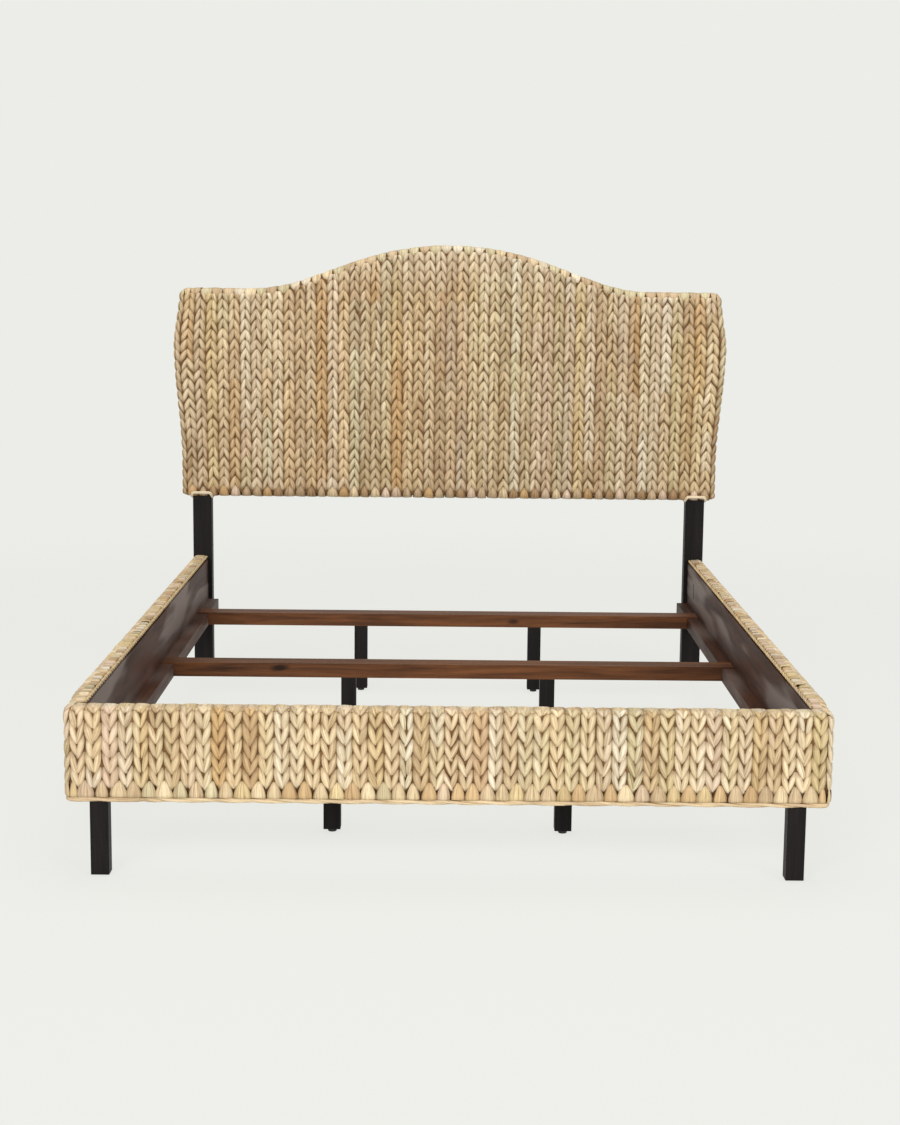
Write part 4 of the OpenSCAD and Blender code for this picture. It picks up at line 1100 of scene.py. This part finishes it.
def post_strand(side, hand):
    """Strand round a rear post where it enters the headboard: a rounded square, whose X and Y are
    a power of the cosine and sine with their signs, drawn forward and arched up in front. The
    left one stands for both solid rings."""
    x_low, x_high = span("right_rear_post", 0)
    y_low, y_high = span("right_rear_post", 1)
    a = np.linspace(0, CIRCLE, 73)[:-1]
    half_x, half_y = (x_high - x_low) / 2 + STRAND_OUT, (y_high - y_low) / 2 + STRAND_OUT
    ring_x = half_x * np.sign(np.cos(a)) * np.abs(np.cos(a)) ** STRAND_SQUARE
    ring_y = half_y * np.sign(np.sin(a)) * np.abs(np.sin(a)) ** STRAND_SQUARE
    before = smooth(-np.sin(a))
    ring = np.stack([side * (x_low + x_high) / 2 + ring_x,
                     (y_low + y_high) / 2 + ring_y - STRAND_FORWARD * before,
                     STRAND_Z + STRAND_RISE * before ** 2], axis=-1)
    made = cord(hand + "_post_strand", ring, STRAND, STRAND_TURN, closed=True, seed=20 + side,
                tones=(WHITISH, CREAM))
    if side < 0:
        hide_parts("post_cords")


footboard_cords()
for side, hand in SIDES:
    rail_cords(side, hand)
back_cord()
for side, hand in SIDES:
    post_strand(side, hand)


# Stage, light and camera

PALE = solid(paint(236, 237, 232))
GLOW, GLOW_STRENGTH = solid((1.0, 0.99, 0.97)), 0.45
# Half width and height of the floor, how much of the backdrop's light it has near the bed, and
# between which distances it takes on all of it, in metres
FLOOR_HALF, FLOOR_Z = 60.0, -0.0005
NEAR_SHARE, FAR_START, FAR_END = 0.87, 2.0, 5.0
SENSOR_WIDTH = 36.0


def soft_world():
    """Plain soft light from all round, behind which the camera sees the pale backdrop."""
    world = bpy.data.worlds.new("soft_studio")
    bpy.context.scene.world = world
    world.use_nodes = True
    world.node_tree.nodes.clear()
    sky = Nodes(world.node_tree)
    glow = sky.node("ShaderNodeBackground", {}, {"Color": GLOW, "Strength": GLOW_STRENGTH})
    backdrop = sky.node("ShaderNodeBackground", {}, {"Color": PALE})
    shown = sky.node("ShaderNodeMixShader", {}, {0: sky.seen(), 1: glow, 2: backdrop})
    sky.join(shown, world.node_tree.nodes.new("ShaderNodeOutputWorld").inputs[0])


def pale_floor():
    """Floor that keeps the bed's shadow near it and turns into the backdrop further away."""
    mesh = bpy.data.meshes.new("studio_floor")
    corners = [(x * FLOOR_HALF, y * FLOOR_HALF, FLOOR_Z)
               for x, y in ((-1, -1), (1, -1), (1, 1), (-1, 1))]
    mesh.from_pydata(corners, [], [(0, 1, 2, 3)])
    floor = placed("studio_floor", mesh)
    f = Finish("pale_floor", Roughness=0.9, Base_Color=PALE, Specular_IOR_Level=0.0)
    far = length_of(f, object_place(f))
    lit = Level(f, f.shader.outputs[0])
    shine = f.node("ShaderNodeEmission", {}, {"Color": PALE, "Strength": 1.0})
    share = f.seen() * (NEAR_SHARE + (1 - NEAR_SHARE) * f.between(far, FAR_START, FAR_END))
    f.join(f.node("ShaderNodeMixShader", {}, {0: share, 1: lit, 2: shine}),
           f.tree.nodes["Material Output"].inputs[0])
    mesh.materials.append(f.material)


def turned(made, place, right, up, away):
    """Puts a lamp or camera at a place in metres, with its own axes along three directions."""
    axes = np.stack([right, up, away], axis=1)
    made.matrix_world = Matrix.Translation(place) @ Matrix(axes.tolist()).to_4x4()


def soft_light(name, place, target, size, power):
    """Square white area light at a place that faces a target, in metres and watts."""
    data = bpy.data.lights.new(name, "AREA")
    data.shape, data.size, data.energy = "SQUARE", size, power
    away = np.subtract(place, target)
    away = away / np.linalg.norm(away)
    right = np.cross((0, 0, 1), away)
    right = right / np.linalg.norm(right)
    turned(placed(name, data), place, right, np.cross(away, right), away)


def photo_camera(place, yaw, pitch, roll, focal):
    """Camera at a place in metres that looks along +Y, turned to the right by yaw, down by pitch
    and round its view by roll, all in degrees, with a focal length in millimetres."""
    yaw, pitch, roll = (math.radians(a) for a in (yaw, pitch, roll))
    forward = np.array([math.sin(yaw) * math.cos(pitch), math.cos(yaw) * math.cos(pitch),
                        -math.sin(pitch)])
    level_right = np.array([math.cos(yaw), -math.sin(yaw), 0.0])
    level_up = np.cross(level_right, forward)
    lens = bpy.data.cameras.new("photo_camera")
    lens.lens, lens.sensor_width = focal, SENSOR_WIDTH
    camera = placed("photo_camera", lens)
    right = math.cos(roll) * level_right + math.sin(roll) * level_up
    turned(camera, place, right, np.cross(right, forward), -forward)
    bpy.context.scene.camera = camera


soft_world()
pale_floor()
soft_light("front_softbox", (-2.8, -7.4, 3.2), (0, 0, 0.6), size=3.2, power=330)
soft_light("right_softbox", (4.2, -6.2, 2.8), (0, 0.2, 0.5), size=3.0, power=190)
soft_light("top_softbox", (0.0, 0.0, 4.4), (0, 0.3, 0), size=3.4, power=80)
photo_camera(place=(-0.015777, -5.062497, 1.307047), yaw=0.20677, pitch=8.74119, roll=0.56543,
             focal=60.801)
bpy.context.scene.view_settings.view_transform = "Standard"
